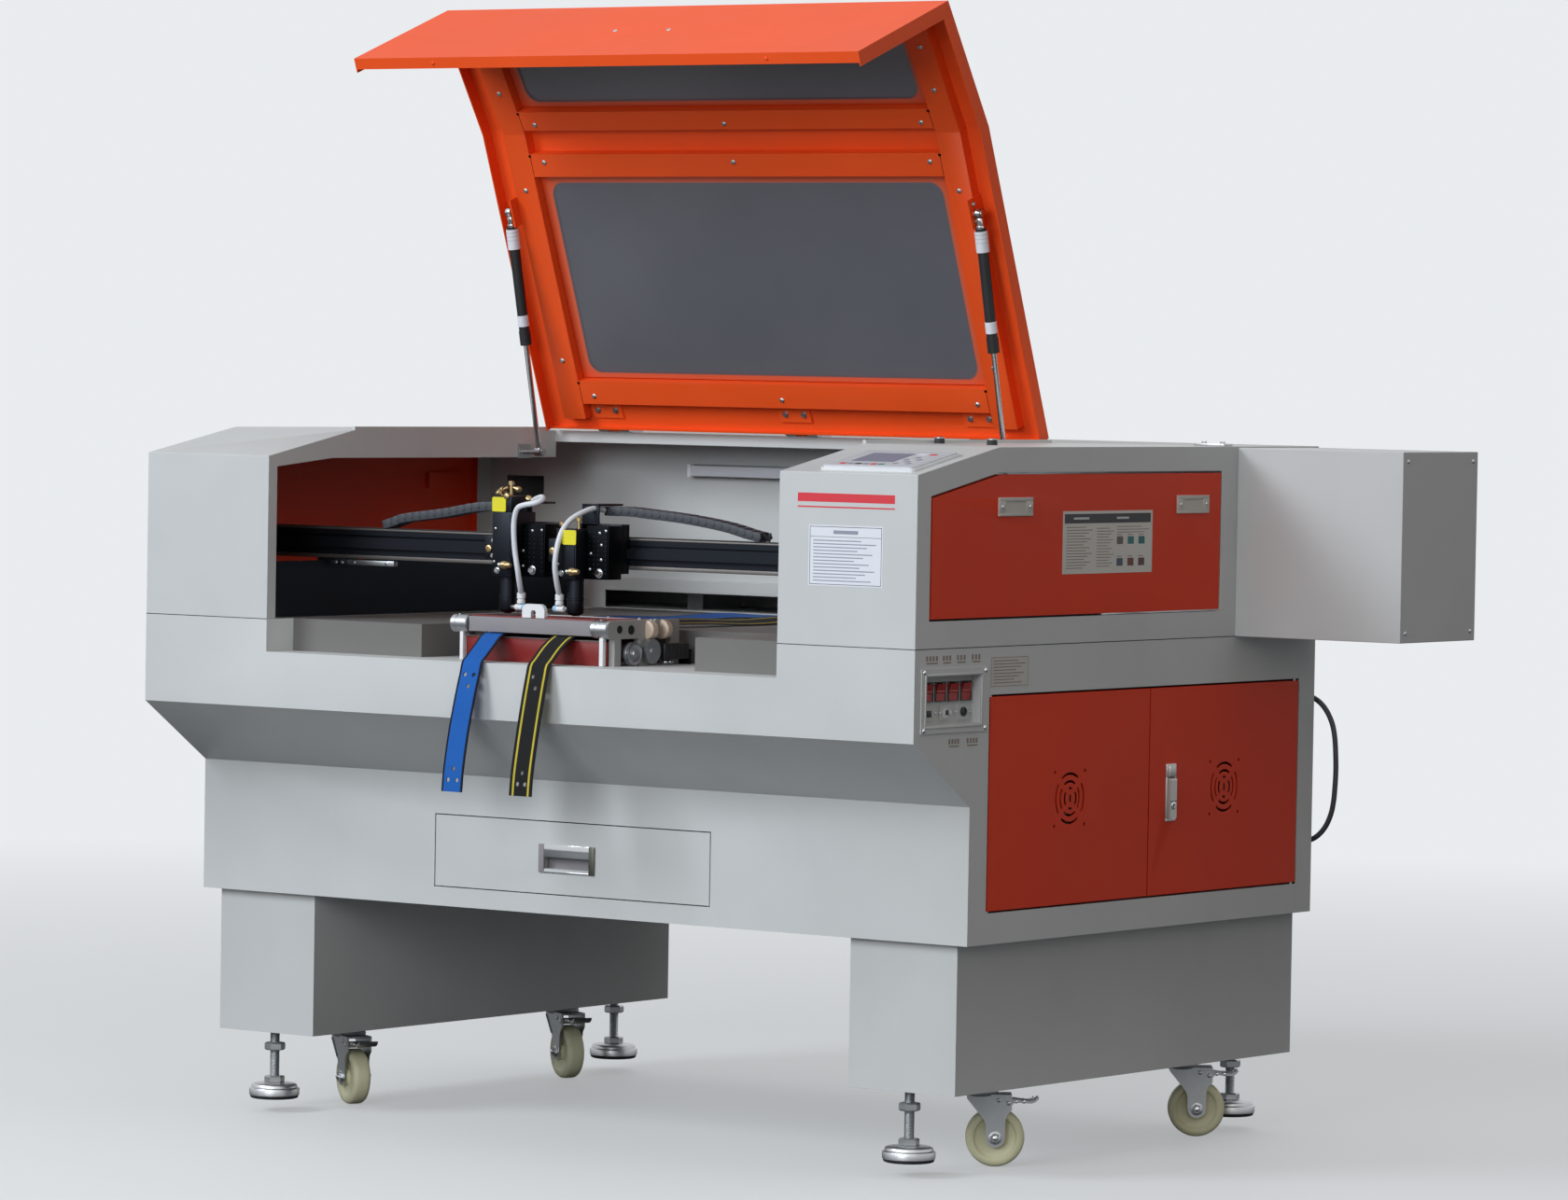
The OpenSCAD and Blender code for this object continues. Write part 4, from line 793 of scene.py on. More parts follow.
# ---- cutting heads -------------------------------------------------------------------------------
def cutting_head(name, x0, box_w, x2, nozzle, top, tag_at, inlet_z, hose, knobs, screws):
    """Carriage, housing with its screwed side plate, mirror mount, lens tube and air fittings.

    x0 is the housing's left side and x2 the plate's right, nozzle the middle of the lens tube, and top the
    housing's upper edge. tag_at and screws are (x, z), and each knob is (x, y, z, way, length).
    The first of the screws is the large bolt."""
    x1 = x0 + box_w
    tag_x, tag_z = tag_at
    bottom, beam_y, box_y, plate_y, bracket_y = 822, 128, 71.2, 95.6, 84
    p = Piece(name + "_assembly", name)
    p.block(x0, x2, beam_y, 139.4, 830, 901, black_alu, 0.8)
    for z0, z1 in ((830, 851.4), (866.6, 901)):
        p.block(x0, x2, 139, 146, z0, z1, black_alu, 0.5)
    p.block(x0, x1, box_y + 1.2, beam_y + 0.4, bottom, top, black_alu, 1.2)
    p.block(x0 + 2, x1 - 2, box_y, box_y + 1.8, bottom + 4, top - 3, black_alu, 0.5)
    p.block(x1 - 0.5, x2, plate_y + 1.4, beam_y + 0.4, bottom, 899, black_plate, 0.8)
    p.block(x1 + 2, x2 - 2, plate_y, plate_y + 1.8, bottom + 3, 896, black_plate, 0.4)
    for y1, z0, z1 in ((186, 926.3, 929.3), (131.5, 881, 928)):
        p.block(nozzle - 16, nozzle + 14, beam_y, y1, z0, z1, black_alu, 0.4)
    p.turned((nozzle, 95, 822.5), DOWN, [(0, 12.4), (28, 12.4), (28.6, 13.3), (30.6, 13.3), (31.2, 12.4),
                                         (48.5, 12.4), (51.5, 10.5), (53, 6.5), (54.2, 4.0)], black_alu, 32)
    # gas inlet on the front, turned to the right
    p.rod((nozzle + 17, 72, inlet_z), (nozzle + 17, 62, inlet_z), 4.2, brass, 18)
    p.turned((nozzle + 10.5, 64.5, inlet_z), RIGHT, [(0, 3.4), (3.4, 3.4), (3.8, 6.0), (9.6, 6.0),
                                                     (10.4, 5.2), (14.4, 4.4), (17.6, 3.9), (18.6, 2.6)],
             brass, 20)
    p.turned((nozzle + 10.5, 64.5, inlet_z), LEFT, [(0, 3.6), (3.2, 3.6), (4.0, 2.4)], zinc, 16)
    # mirror mount with its adjusting screws
    p.block(x0 - 2, x1 - 2, 73.4, 110, top - 0.5, tag_z + 12, black_alu, 0.8)
    for x, y, z, way, length in knobs:
        p.turned((x, y, z), way, [(0, 2.6), (length - 6.4, 2.6), (length - 6, 4.9), (length - 1.6, 4.9),
                                  (length - 0.7, 4.1), (length, 2.0)], brass, 16)
    p.block(x0 - 23, x0 + 0.5, bracket_y, 110, 846, 879, black_alu, 0.6)
    p.turned((x0 - 15, bracket_y + 0.2, 861), FRONT,
             [(0, 5.4), (2.0, 5.4), (2.7, 4.4), (2.8, 2.2), (1.8, 1.8)], brass, 20)
    tag_y = 70.4 if tag_z < top else 72.6
    p.sheet(rounded_outline(25, 21, 2.5), ((tag_x, tag_y, tag_z), RIGHT, UP), 0.9, yellow_tag, 0.2)
    # air hose and its elbow
    p.tube(hose, 4.0, hose_white, 14)
    end = Vector(hose[-1])
    p.turned(end + UP * 3, DOWN, [(0, 4.4), (1, 6.2), (9, 6.4), (10, 5.2), (11, 5.2), (12, 6.2), (16, 6.2),
                                  (17, 4.6)], white_plastic, 18)
    way = LEFT if end.x < nozzle else RIGHT
    low = end + DOWN * 19
    p.rod(low - way * 9.5, low + way * 9.5, 4.6, white_plastic, 18)
    p.rod(low + way * 3.325, low + way * 8.075, 5.3, blue_ring, 18)
    p.rod(low - way * 9.5, Vector((nozzle, low.y + 4, low.z)) + way * 11.6, 3.4, zinc, 16)
    item = p.done()
    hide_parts(name)
    bolt_at, *small_at = screws
    spread(name + "_screws", name, PAN, zinc,
           [((x, plate_y, z), FRONT, 2.4) for x, z in small_at]
           + [((x0 + 7, box_y, 891 if top > 900 else 884), FRONT, 2.2), ((x0 + 5, box_y, 843), FRONT, 2.2)])
    bolts = ((bolt_at[0], plate_y, bolt_at[1], 5.4), (x0 + 11, box_y, 830.4, 3.8),
             (x0 - 7, bracket_y, 873, 2.8), (x0 - 5, bracket_y, 863, 2.2), (x0 - 8, bracket_y, 851, 2.8))
    spread(name + "_bolts", name, HEX, chromed, [((x, y, z), FRONT, r) for x, y, z, r in bolts])
    spread(name + "_tapped_holes", name, HOLE, screw_dark,
           [((x1 + (x2 - x1) * a, plate_y, 830.5 + 6.6 * row), FRONT, 0.85)
            for row in range(10) for a in (0.16, 0.36, 0.56, 0.9)])


def tapped_hole(p):
    """Rim of a small threaded hole."""
    p.turned((0, 0, -0.4), UP, [(0, 1.0), (0.55, 1.0), (0.6, 0.7)], screw_dark, 10)


HOLE = unit_of(tapped_hole)
black_plate = metal("black_plate", "15171A", 0.5, tarnish=0.08)
hose_white = plastic("hose_white", "DCDFE6", 0.35, 200.0, 0.0001)
blue_ring = plastic("blue_ring", "8FC0E4", 0.35)
yellow_tag = plastic("yellow_tag", "E3D92C", 0.4)
cutting_head(
    "head_1", x0=598.5, box_w=35.5, x2=676, nozzle=611, top=915, tag_at=(610.5, 926), inlet_z=839,
    hose=[(640, 104, 926), (656, 98, 934), (678, 86, 938), (690, 72, 935), (684, 63, 930), (668, 61, 927),
          (654, 61, 922), (648, 61, 908), (647, 61, 888), (649, 62, 860), (653, 64, 832), (650, 73, 812),
          (643, 86, 797)],
    knobs=((617, 92, 937, UP, 23), (612, 92, 950, (-1, 0, -0.35), 15), (622, 92, 950, (1, 0, -0.3), 12),
           (608, 84, 937, (-0.5, -0.6, 0.7), 12), (624, 84, 938, FRONT, 14),
           (640, 104, 928, (0.4, -0.5, 0.6), 14)),
    screws=((655, 832), (654, 888.6), (671, 890), (637.5, 859.5), (637.5, 837.5)))
cutting_head(
    "head_2", x0=716, box_w=36, x2=792, nozzle=735, top=893, tag_at=(741.5, 882), inlet_z=833,
    hose=[(742, 150, 920.5), (741, 128, 923), (736, 106, 917), (730, 86, 906), (727, 70, 888), (724, 63, 862),
          (722, 63, 838), (719, 72, 815), (713, 86, 797)],
    knobs=((718, 90, 892, (-0.35, -0.2, 0.8), 13), (742, 92, 892, UP, 19), (726, 84, 890, FRONT, 14)),
    screws=((777, 831), (777, 888.8), (788, 892), (780.4, 871.7), (761.3, 859.2), (780, 850.6), (760, 836.6)))

# ---- energy chains -------------------------------------------------------------------------------
def chain_link(p):
    """One link, 1 long to its pitch: two side plates, their pin bosses and two crossbars."""
    for side in (-1, 1):
        p.block(-0.56, 0.56, side * 0.88 - 0.12, side * 0.88 + 0.12, -0.46, 0.46, chain_plastic, 0.05)
        p.turned((0.5, side * 0.94, 0), (0, side, 0), [(0, 0.2), (0.1, 0.2), (0.13, 0.15)], chain_plastic, 10)
    for z in (-0.42, 0.42):
        p.block(-0.3, 0.3, -0.85, 0.85, z - 0.06, z + 0.06, chain_plastic, 0.02)


chain_plastic = plastic("chain_plastic", "3B3E45", 0.55)
LINK = unit_of(chain_link)
CHAIN_Y, CHAIN_PITCH = 167.0, 14.0


def energy_chain(node, line):
    points = smooth_line([Vector((x, CHAIN_Y, z)) for x, z in line], 10)
    places, gap = [], 0.0
    for a, b in zip(points, points[1:]):
        way, step = (b - a).normalized(), (b - a).length
        while gap < step:
            up = way.cross(BACK)
            places.append((a + way * gap, up if up.z > 0 else -up, CHAIN_PITCH, way))
            gap += CHAIN_PITCH
        gap -= step
    item = spread(node + "_links", node, LINK, chain_plastic, places, 30.0)
    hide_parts(node)


energy_chain("energy_chain_1", [(334, 889.5), (346, 893), (368, 899), (439, 908), (509, 919), (580, 921)])
energy_chain("energy_chain_2", [(748, 919), (784, 919), (818, 916.5), (886, 911), (953, 902), (994, 893),
                                (1016, 889)])


# ---- gantry --------------------------------------------------------------------------------------
def gantry_trim():
    """Edges and slots of the beam's profile, the belt on its top and the carriages' lower brackets. The pale
    strips along the top front edge are a painted highlight, and the dark strip in the upper slot is painted
    shade.
    """
    p = Piece("gantry_trim", "gantry_beam")
    x0, x1, face_y = 22, 1378, 149
    # z 869: dark strip, painted shade in the upper slot; z 878.6: pale strip, painted highlight of the top
    # front edge
    for y0, z0, z1, look, edge in ((147.3, 869, 871.4, dark_anodised, 0.2),
                                   (147.4, 878.6, 880.6, dull_alu, 0.2),
                                   (147.2, 836.3, 841.6, dull_alu, 0.3)):
        p.block(x0, x1, y0, face_y, z0, z1, look, edge)
    # pale strip on the top edge: painted highlight along the beam's top front edge
    p.block(x0, x1, 147.6, 190, 880.4, 881.1, dull_alu, 0.2)
    p.block(x0 + 2, x1 - 2, 156, 162, 881.2, 882.8, belt_rubber, 0.2)
    p.block(262, 352, face_y, 158, 826.5, 834, alu, 0.6)
    p.block(214, 262, 146, 160, 826.5, 835.8, black_alu, 0.6)
    for x in (x0 - 1, x1 + 1):
        p.block(x, x + 1.4, 149.5, 191.5, 837.5, 879.5, black_plastic, 0.5)
    p.done()
    spread("carriage_bolts", "gantry_beam", HEX, chromed,
           [((x, 146, 829.5), FRONT, 2.4) for x in (220, 232, 244, 256)]
           + [((x, face_y, 830), FRONT, 2.0) for x in (276, 338)])


dark_anodised = metal("dark_anodised", "15171B", 0.45)
dull_alu = metal("dull_alu", "77726F", 0.5, (1.0, 20.0, 20.0), 200.0)
belt_rubber = plastic("belt_rubber", "191A1C", 0.7)
gantry_trim()


# ---- feeder --------------------------------------------------------------------------------------
def arm_outline():
    """An arm of the feeder from the side: round in front, with open slots between its three feet."""
    foot_z, slot_z, top_z = SILL, 739.3, 765.7
    rim = [(55 - round_about(a, 10.0)[0], 752.5 + round_about(a, 13.2)[1]) for a in range(-90, 91, 18)]
    return rim + [(215, top_z), (215, foot_z), (196, foot_z), (196, slot_z), (158, slot_z), (158, foot_z),
                  (120, foot_z), (120, slot_z), (78, slot_z), (78, foot_z), (63, foot_z), (63, slot_z)]


def feeder_front_bar(p):
    """The bar that the bands run over first, with its end caps and their screws."""
    p.block(576, 801, 49, 62.5, 742.4, 764, worn_alu, 0.8)
    for x0, x1, screw_x in ((546, 575, 555), (802, 831, 814)):
        p.turned((x0, 55, 753), RIGHT, [(0, 11.8), (1.2, 13.0), (9, 13.0), (9.6, 12.2), (10.8, 12.2),
                                        (11.4, 13.0), (x1 - x0 - 1.2, 13.0), (x1 - x0, 11.8)], alu, 36)
        p.rod((screw_x, 55, 764), (screw_x, 55, 766.4), 2.4, zinc, 12, 0.4)


def feeder_plates(p):
    """Arms, red cross plates, guide clip and bolts."""
    x0, x1 = 566.2, 821.8
    for arm_x in (556, 822):
        p.sheet(arm_outline(), ((arm_x, 0, 0), BACK, UP), 10, plate_alu, 0.5)
    for y, z, r in ((74, 753, 5.6), (101, 752, 6.6)):
        p.turned((831.6, y, z), RIGHT, [(0, r), (1.4, r), (1.5, r - 1.2), (1.1, r - 1.6), (1.1, r - 2.6),
                                            (1.7, r - 3.0), (1.7, 1.2)], screw_dark, 24)
    p.block(x0, x1, 66, 180, 752, 757, red_alu, 0.4)
    p.block(x0, x1, 66, 70, 756, 765.6, red_alu, 0.4)
    clip = [(663, 764.6), (679, 764.6), (679, 772.5), (681, 775.5), (686, 775.5), (688, 772.5), (688, 764.6),
            (704, 764.6), (704, 776), (701.5, 781.5), (696, 784.5), (671, 784.5), (665.5, 781.5), (663, 776)]
    p.sheet(clip, ((0, 69.6, 0), RIGHT, UP), 6.6, white_plastic, 1.6)
    p.block(x0, x1, 176, 180, 756, 763, red_alu, 0.4)
    p.block(x0, x1, 57, 62, SILL + 0.3, 734.6, red_alu, 0.4)
    for pad_x0, pad_x1 in ((559, 565), (814, 821)):
        p.block(pad_x0, pad_x1, 50, 57.5, SILL + 0.3, 742, white_plastic, 0.8)


def feeder_rear_rod(p):
    """The chromed rod behind the plates, and the white pegs in front of it."""
    p.rod((558, 205, 760), (831, 205, 760), 3.6, chromed, 20)
    for x in (553, 612, 668, 724, 780):
        p.turned((x, 188, 757), UP, [(0, 3.4), (5, 3.4), (6, 2.2), (8.6, 2.2)], white_plastic, 14)


def feeder_drive(p):
    """At the right end: two discs on their hub, motor with its ribs, pulley and stub shafts."""
    disc_x, disc_z = 832.4, 751.5
    p.turned((disc_x, 135, disc_z), BACK, [(0, 9.5), (1.4, 13.2), (12, 14.0), (13.2, 12.6), (14.4, 9.8)],
             beige_disc, 32)
    p.turned((disc_x, 169, disc_z), BACK, [(0, 9.8), (1.2, 12.6), (2.4, 14.0), (13, 13.2), (14.4, 9.5)],
             beige_disc, 32)
    p.turned((disc_x, 148.6, disc_z), BACK, [(0, 8.6), (6.8, 8.6)], brass, 24)
    for y in (146.5, 156.5):
        p.turned((disc_x, y, 764.4), UP, [(0, 1.4), (1.6, 1.4), (2.0, 2.2), (2.1, 1.0)], white_plastic, 12)
    motor_x, motor_length = 832, 14
    p.block(motor_x, motor_x + motor_length, 164, 222, 708.5, 731, motor_black, 1.4)
    for k in range(6):
        p.block(845.4, 846.6, 168 + 9 * k, 172 + 9 * k, 711, 729, motor_black, 0.2)
    p.turned((831.5, 100, 718), RIGHT, [(0, 16.4), (2.2, 16.4), (2.6, 14.4), (7.4, 14.4), (7.8, 16.4),
                                        (9.6, 16.4), (10.0, 13), (9.2, 12), (9.2, 6), (11.4, 5.4), (11.6, 2)],
             alu, 40)
    for y, z in ((172, 704.4), (184, 704.2)):
        p.turned((motor_x, y, z), RIGHT, [(0, 3.6), (9, 3.6), (10, 2.6), (13, 2.2)], alu, 18)


def feeder():
    """All of it as one piece, with the rear foot rail and two fine strips across the front."""
    p = Piece("feeder_assembly")
    feeder_front_bar(p)
    feeder_plates(p)
    feeder_rear_rod(p)
    feeder_drive(p)
    p.block(552, 846, 222, 227, SILL + 0.3, 722, dark_anodised, 0.5)
    for y in (52, 64):
        p.block(566.5, 821.5, y, y + 0.6, 735.4, 736.2, dull_alu, 0.1)
    item = p.done(40.0)
    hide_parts("feeder_frame")


worn_alu = plastic("worn_alu", "8F8B8F", 0.6, 120.0, 0.00004, 0.2)
plate_alu = plastic("plate_alu", "9C9B9A", 0.4)
beige_disc = plastic("beige_disc", "CDB9A6", 0.4)
motor_black = plastic("motor_black", "17181A", 0.45)
feeder()


# ---- labels and plain printed fields -------------------------------------------------------------
label_white = plastic("label_white", "D3CFC9", 0.45)
label_pale = plastic("label_pale", "E4E6EE", 0.45)
label_side = plastic("label_side", "C6C4C0", 0.5)
print_dark = plastic("print_dark", "2C2C30", 0.5)
print_brown = plastic("print_brown", "8A7A72", 0.55)
print_grey = plastic("print_grey", "8F93A2", 0.55)
print_faint = plastic("print_faint", "C9C9CC", 0.5)
stripe_red = plastic("stripe_red", "D8343F", 0.42)
tile_looks = [plastic("tile_" + str(i), code, 0.5)
              for i, code in enumerate(("5E5450", "2F6E70", "1F6468", "44505E", "6B3A36", "5A3B40"))]
TO_RIGHT, TO_FRONT = (BACK, UP), (RIGHT, UP)
RIGHT_FACE, FRONT_FACE = WIDTH - 0.1, 0.1


def field(p, corner, ways, box, look, lift=0.0, thick=0.12, edge=0.0):
    """A thin rectangle u0, u1, v0, v1 on a face, raised by lift."""
    along, up = ways
    p.sheet(rectangle(*box), (Vector(corner) + along.cross(up) * lift, along, up), thick, look, edge)


def lines(p, corner, ways, box, count, look, thin=0.9, lift=0.3):
    """Plain bars of uneven length down a column."""
    u0, u1, v0, v1 = box
    for i in range(count):
        v = v1 - (v1 - v0) * (i + 0.5) / count
        length = (u1 - u0) * (0.62 + 0.38 * ((i * 0.618 + 0.35) % 1.0))
        field(p, corner, ways, (u0, u0 + length, v - thin / 2, v + thin / 2), look, lift)


def hatch_label():
    """A plate of small print with a dark heading and six coloured tiles."""
    p = Piece("hatch_label", "hatch_right")
    corner = (RIGHT_FACE, 357, 846)
    field(p, corner, TO_RIGHT, (0, 230, 0, 89), label_white, 0, 0.4, 0.1)
    field(p, corner, TO_RIGHT, (4, 225, 71.5, 85), print_dark, 0.36)
    for u0, u1 in ((27, 66), (137, 168)):
        field(p, corner, TO_RIGHT, (u0, u1, 77, 80), print_faint, 0.42)
    for box, count, thin in (((9, 76, 6, 68), 15, 1.2), ((86, 131, 8, 66), 14, 1.1),
                             ((138, 222, 56, 68), 3, 1.1)):
        lines(p, corner, TO_RIGHT, box, count, print_brown, thin)
    for k, look in enumerate(tile_looks):
        u, v = 138 + 28 * (k % 3), 41 - 31 * (k // 3)
        field(p, corner, TO_RIGHT, (u, u + 16, v, v + 11), look, 0.3)
        field(p, corner, TO_RIGHT, (u, u + 13, v + 13, v + 14.2), print_brown, 0.3)
    p.done()


def pod_label():
    """A pale plate of print in a dark outline, and the red stripe above it."""
    p = Piece("pod_label")
    corner = (1217, FRONT_FACE, 831)
    field(p, corner, TO_FRONT, (0, 126, 0, 84), label_pale, 0, 0.4, 0.1)
    for box in ((2, 124, 81.4, 82.2), (2, 124, 1.8, 2.6), (2, 2.8, 2, 82), (123.2, 124, 2, 82),
                (2, 124, 67.6, 68.2)):
        field(p, corner, TO_FRONT, box, print_dark, 0.32)
    field(p, corner, TO_FRONT, (42, 84, 72, 77), print_grey, 0.32)
    lines(p, corner, TO_FRONT, (8, 116, 5, 65), 13, print_grey, 1.5)
    p.done()
    p = Piece("pod_stripe")
    for v0, v1, edge in ((9, 21, 0.08), (1, 3, 0.05)):
        field(p, (1197, FRONT_FACE, 938), TO_FRONT, (0, 165, v0, v1), stripe_red, 0, 0.3, edge)
    p.done()


def side_label():
    p = Piece("side_label")
    corner = (RIGHT_FACE, 184, 691)
    field(p, corner, TO_RIGHT, (0, 93, 0, 43), label_side, 0, 0.35, 0.08)
    for box in ((1, 92, 41, 41.8), (1, 92, 1.2, 2), (1, 1.8, 1, 42), (91.2, 92, 1, 42)):
        field(p, corner, TO_RIGHT, box, print_brown, 0.28)
    lines(p, corner, TO_RIGHT, (6, 86, 4, 39), 8, print_brown, 1.3)
    p.done()


def switch_marks():
    """A row of plain bars over each switch and below the plate, each row underlined."""
    p = Piece("switch_marks")
    for y0, y1, z in ((27, 58, 727), (67, 90, 727), (101, 125, 727), (137, 161, 727), (84, 112, 611),
                      (128, 157, 611)):
        corner, steps = (RIGHT_FACE, y0, z), int((y1 - y0) / 7)
        for k in range(steps):
            u = (y1 - y0) * k / steps
            field(p, corner, TO_RIGHT, (u, u + 4.4, 4.5, 11.5), print_brown, 0, 0.3)
        field(p, corner, TO_RIGHT, (1, y1 - y0 - 3, 0.5, 2.4), print_brown, 0, 0.3)
    p.done()


hatch_label()
pod_label()
side_label()
switch_marks()


# ---- latches, handle and drawer pull -------------------------------------------------------------
latch_grey = plastic("latch_grey", "C2BDB6", 0.36)
satin = metal("satin", "BDBBB7", 0.46, tarnish=0.03)


def latch_plates():
    """Each latch's plate, open in the middle, and its recess's thin sides."""
    z, proud = 942.5, 3.0
    for side, way in (("right", RIGHT), ("left", LEFT)):
        def across(depth0, depth1):
            """x0 and x1 between two heights over the machine's side."""
            return (WIDTH + depth0, WIDTH + depth1) if side == "right" else (-depth1, -depth0)

        p = Piece("latch_plates_" + side, "hatch_" + side)
        screws = []
        for y in (236.0, 691.5):
            for y0, y1, z0, z1 in ((-41.6, 41.6, 8.2, 13.1), (-41.6, 41.6, -13.1, -8.2),
                                   (-41.6, -26.2, -8.3, 8.3), (26.2, 41.6, -8.3, 8.3)):
                p.block(*across(-0.4, proud), y + y0, y + y1, z + z0, z + z1, latch_grey, 0.5)
            for y0, y1, z0, z1 in ((-26.3, -25.5, -8.2, 8.2), (25.5, 26.3, -8.2, 8.2), (-26, 26, 7.3, 8.2),
                                   (-26, 26, -8.2, -7.5)):
                p.block(*across(-3.5, proud - 0.1), y + y0, y + y1, z + z0, z + z1, latch_grey, 0.1)
            screws += [((across(proud, proud)[0], y + dy, z), way, 2.6) for dy in (-34, 34)]
        p.done()
        spread("latch_screws_" + side, "hatch_" + side, PAN, zinc, screws)
        for end in ("front", "rear"):
            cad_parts["latch_" + side + "_" + end].data.materials[0] = latch_grey


def door_handle_plate():
    """Frame round the handle's pocket, its upper block, and the key lock on the handle."""
    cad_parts["door_handle"].data.materials[0] = satin
    p = Piece("handle_plate", "door_rear")
    for y0, y1, z0, z1 in ((633.4, 658.6, 548.2, 567.6), (633.4, 658.6, 484.4, 488.2),
                           (633.4, 636.9, 488, 548.4), (655.1, 658.6, 488, 548.4)):
        p.block(WIDTH - 0.2, WIDTH + 2.8, y0, y1, z0, z1, satin, 0.6)
    p.block(WIDTH + 2.4, WIDTH + 5.6, 637.4, 654.6, 549, 565.6, satin, 1.2)
    p.done()
    p = Piece("handle_lock", "door_handle")
    p.turned((WIDTH + 6.6, 646, 507), RIGHT, [(0, 5.6), (0.8, 5.6), (1.2, 5.0), (1.3, 3.6), (0.9, 3.2)],
             chromed, 24)
    p.block(WIDTH + 7.4, WIDTH + 7.9, 645.6, 646.4, 504.6, 509.4, screw_dark, 0.05)
    p.block(WIDTH + 6.8, WIDTH + 7.4, 638.4, 653.6, 512.6, 513.8, screw_dark, 0.1)
    p.done()


def drawer_pull():
    """A cup pull: cheeks, upper and lower lips and the back of the cup. The right cheek is a darker metal,
    painted shade.
    """
    p = Piece("drawer_cup_pull", "drawer")
    for x0, x1, y0, y1, z0, z1, look, edge in (
            (643, 653, 134.6, 140, 392.4, 433.6, worn_alu, 1.2),
            # right cheek: darker metal as painted shade
            (735, 745, 134.6, 140, 392.4, 433.6, pull_shade, 1.2),
            (652.6, 735.4, 135.2, 137.4, 415, 433.4, chromed, 0.8),
            (652.6, 735.4, 135.2, 151, 392.6, 394.8, chromed, 0.5),
            (648.6, 739.4, 150.4, 152.2, 394, 432, worn_alu, 0.3),
            (652.6, 735.4, 136.8, 151, 431.2, 433.2, worn_alu, 0.3)):
        p.block(x0, x1, y0, y1, z0, z1, look, edge)
    p.done()


# darker copy of the pull's metal: painted shade on the right cheek
pull_shade = metal("pull_shade", "6E6E66", 0.4)


def arc_outline(r, half, middle, width, n=8):
    """A ring slot about 0, 0: half its angle either side of middle, in degrees."""
    angles = [middle - half + 2 * half * k / n for k in range(n + 1)]
    return ([round_about(a, r + width / 2) for a in angles]
            + [round_about(a, r - width / 2) for a in reversed(angles)])


def door_vents():
    """The inner slots of each door's louvre, as dark insets painted as the shade in the openings."""
    for name, y in (("door_front", 388.0), ("door_rear", 791.0)):
        p = Piece("vent_slots_" + name, name)
        inset = ((WIDTH - 0.05, y, 528.25), BACK, UP)
        for middle, half in ((0, 36), (90, 13), (180, 36), (270, 13)):
            p.sheet(arc_outline(14.5, half, middle, 3.2), inset, 0.15, vent_dark, 0.0)
        p.sheet(rounded_outline(3.4, 11, 1.6), inset, 0.15, vent_dark, 0.0)
        p.done()


# near black, painted as the shade inside vent slots and behind the fan guard
vent_dark = plastic("vent_dark", "0A0605", 0.85, shine=0.02)
door_vents()
latch_plates()
door_handle_plate()
drawer_pull()


# ---- switch plate --------------------------------------------------------------------------------
PLATE_X = WIDTH - 12.4


def switches():
    """The plate's frame, the rocker switches' bezels, and the sockets and key below them."""
    p = Piece("switch_frames")
    for y0, y1, z0, z1 in ((23, 161, 710.6, 713.6), (23, 161, 638.8, 641.6), (22.4, 25.4, 639, 713.4),
                           (158.6, 161.6, 639, 713.4)):
        p.block(WIDTH + 1.6, WIDTH + 3.4, y0, y1, z0, z1, grey_paint, 0.8)
    for y in (46.4, 77.2, 108.0, 138.8):
        for y0, y1, z0, z1 in ((-13.2, 13.2, 700.7, 701.9), (-13.2, 13.2, 674.4, 675.6),
                               (-13.2, -11.0, 675, 701.4), (11.0, 13.2, 675, 701.4)):
            p.block(PLATE_X + 1, PLATE_X + 2.8, y + y0, y + y1, z0, z1, black_plastic, 0.3)
    p.block(PLATE_X, PLATE_X + 2, 46.5, 57.5, 653.5, 662.5, black_plastic, 0.5)
    p.block(PLATE_X, PLATE_X + 3, 86, 95.5, 651.5, 664, white_plastic, 0.6)
    p.block(PLATE_X + 2.8, PLATE_X + 3.8, 89, 95.6, 655.5, 662.5, black_plastic, 0.3)
    p.turned((PLATE_X + 0.2, 103, 658.5), RIGHT, [(0, 3.4), (1.6, 3.4), (2.2, 2.6)], white_plastic, 20)
    p.turned((PLATE_X + 0.2, 135, 659), RIGHT, [(0, 6.4), (2.6, 6.4), (3.4, 5.6), (3.4, 3.8), (2.0, 3.4)],
             black_plastic, 28)
    p.block(PLATE_X, PLATE_X + 3.2, 128.6, 134, 656.4, 660.6, black_plastic, 0.4)
    p.done()
    spread("switch_screws", BODY, PAN, chromed,
           [((WIDTH + 2, y, z), RIGHT, 3.4) for y in (21, 169) for z in (636, 716)]
           + [((PLATE_X + 0.4, y, 658.5), RIGHT, 1.6) for y in (69, 79, 117, 151)])


switches()


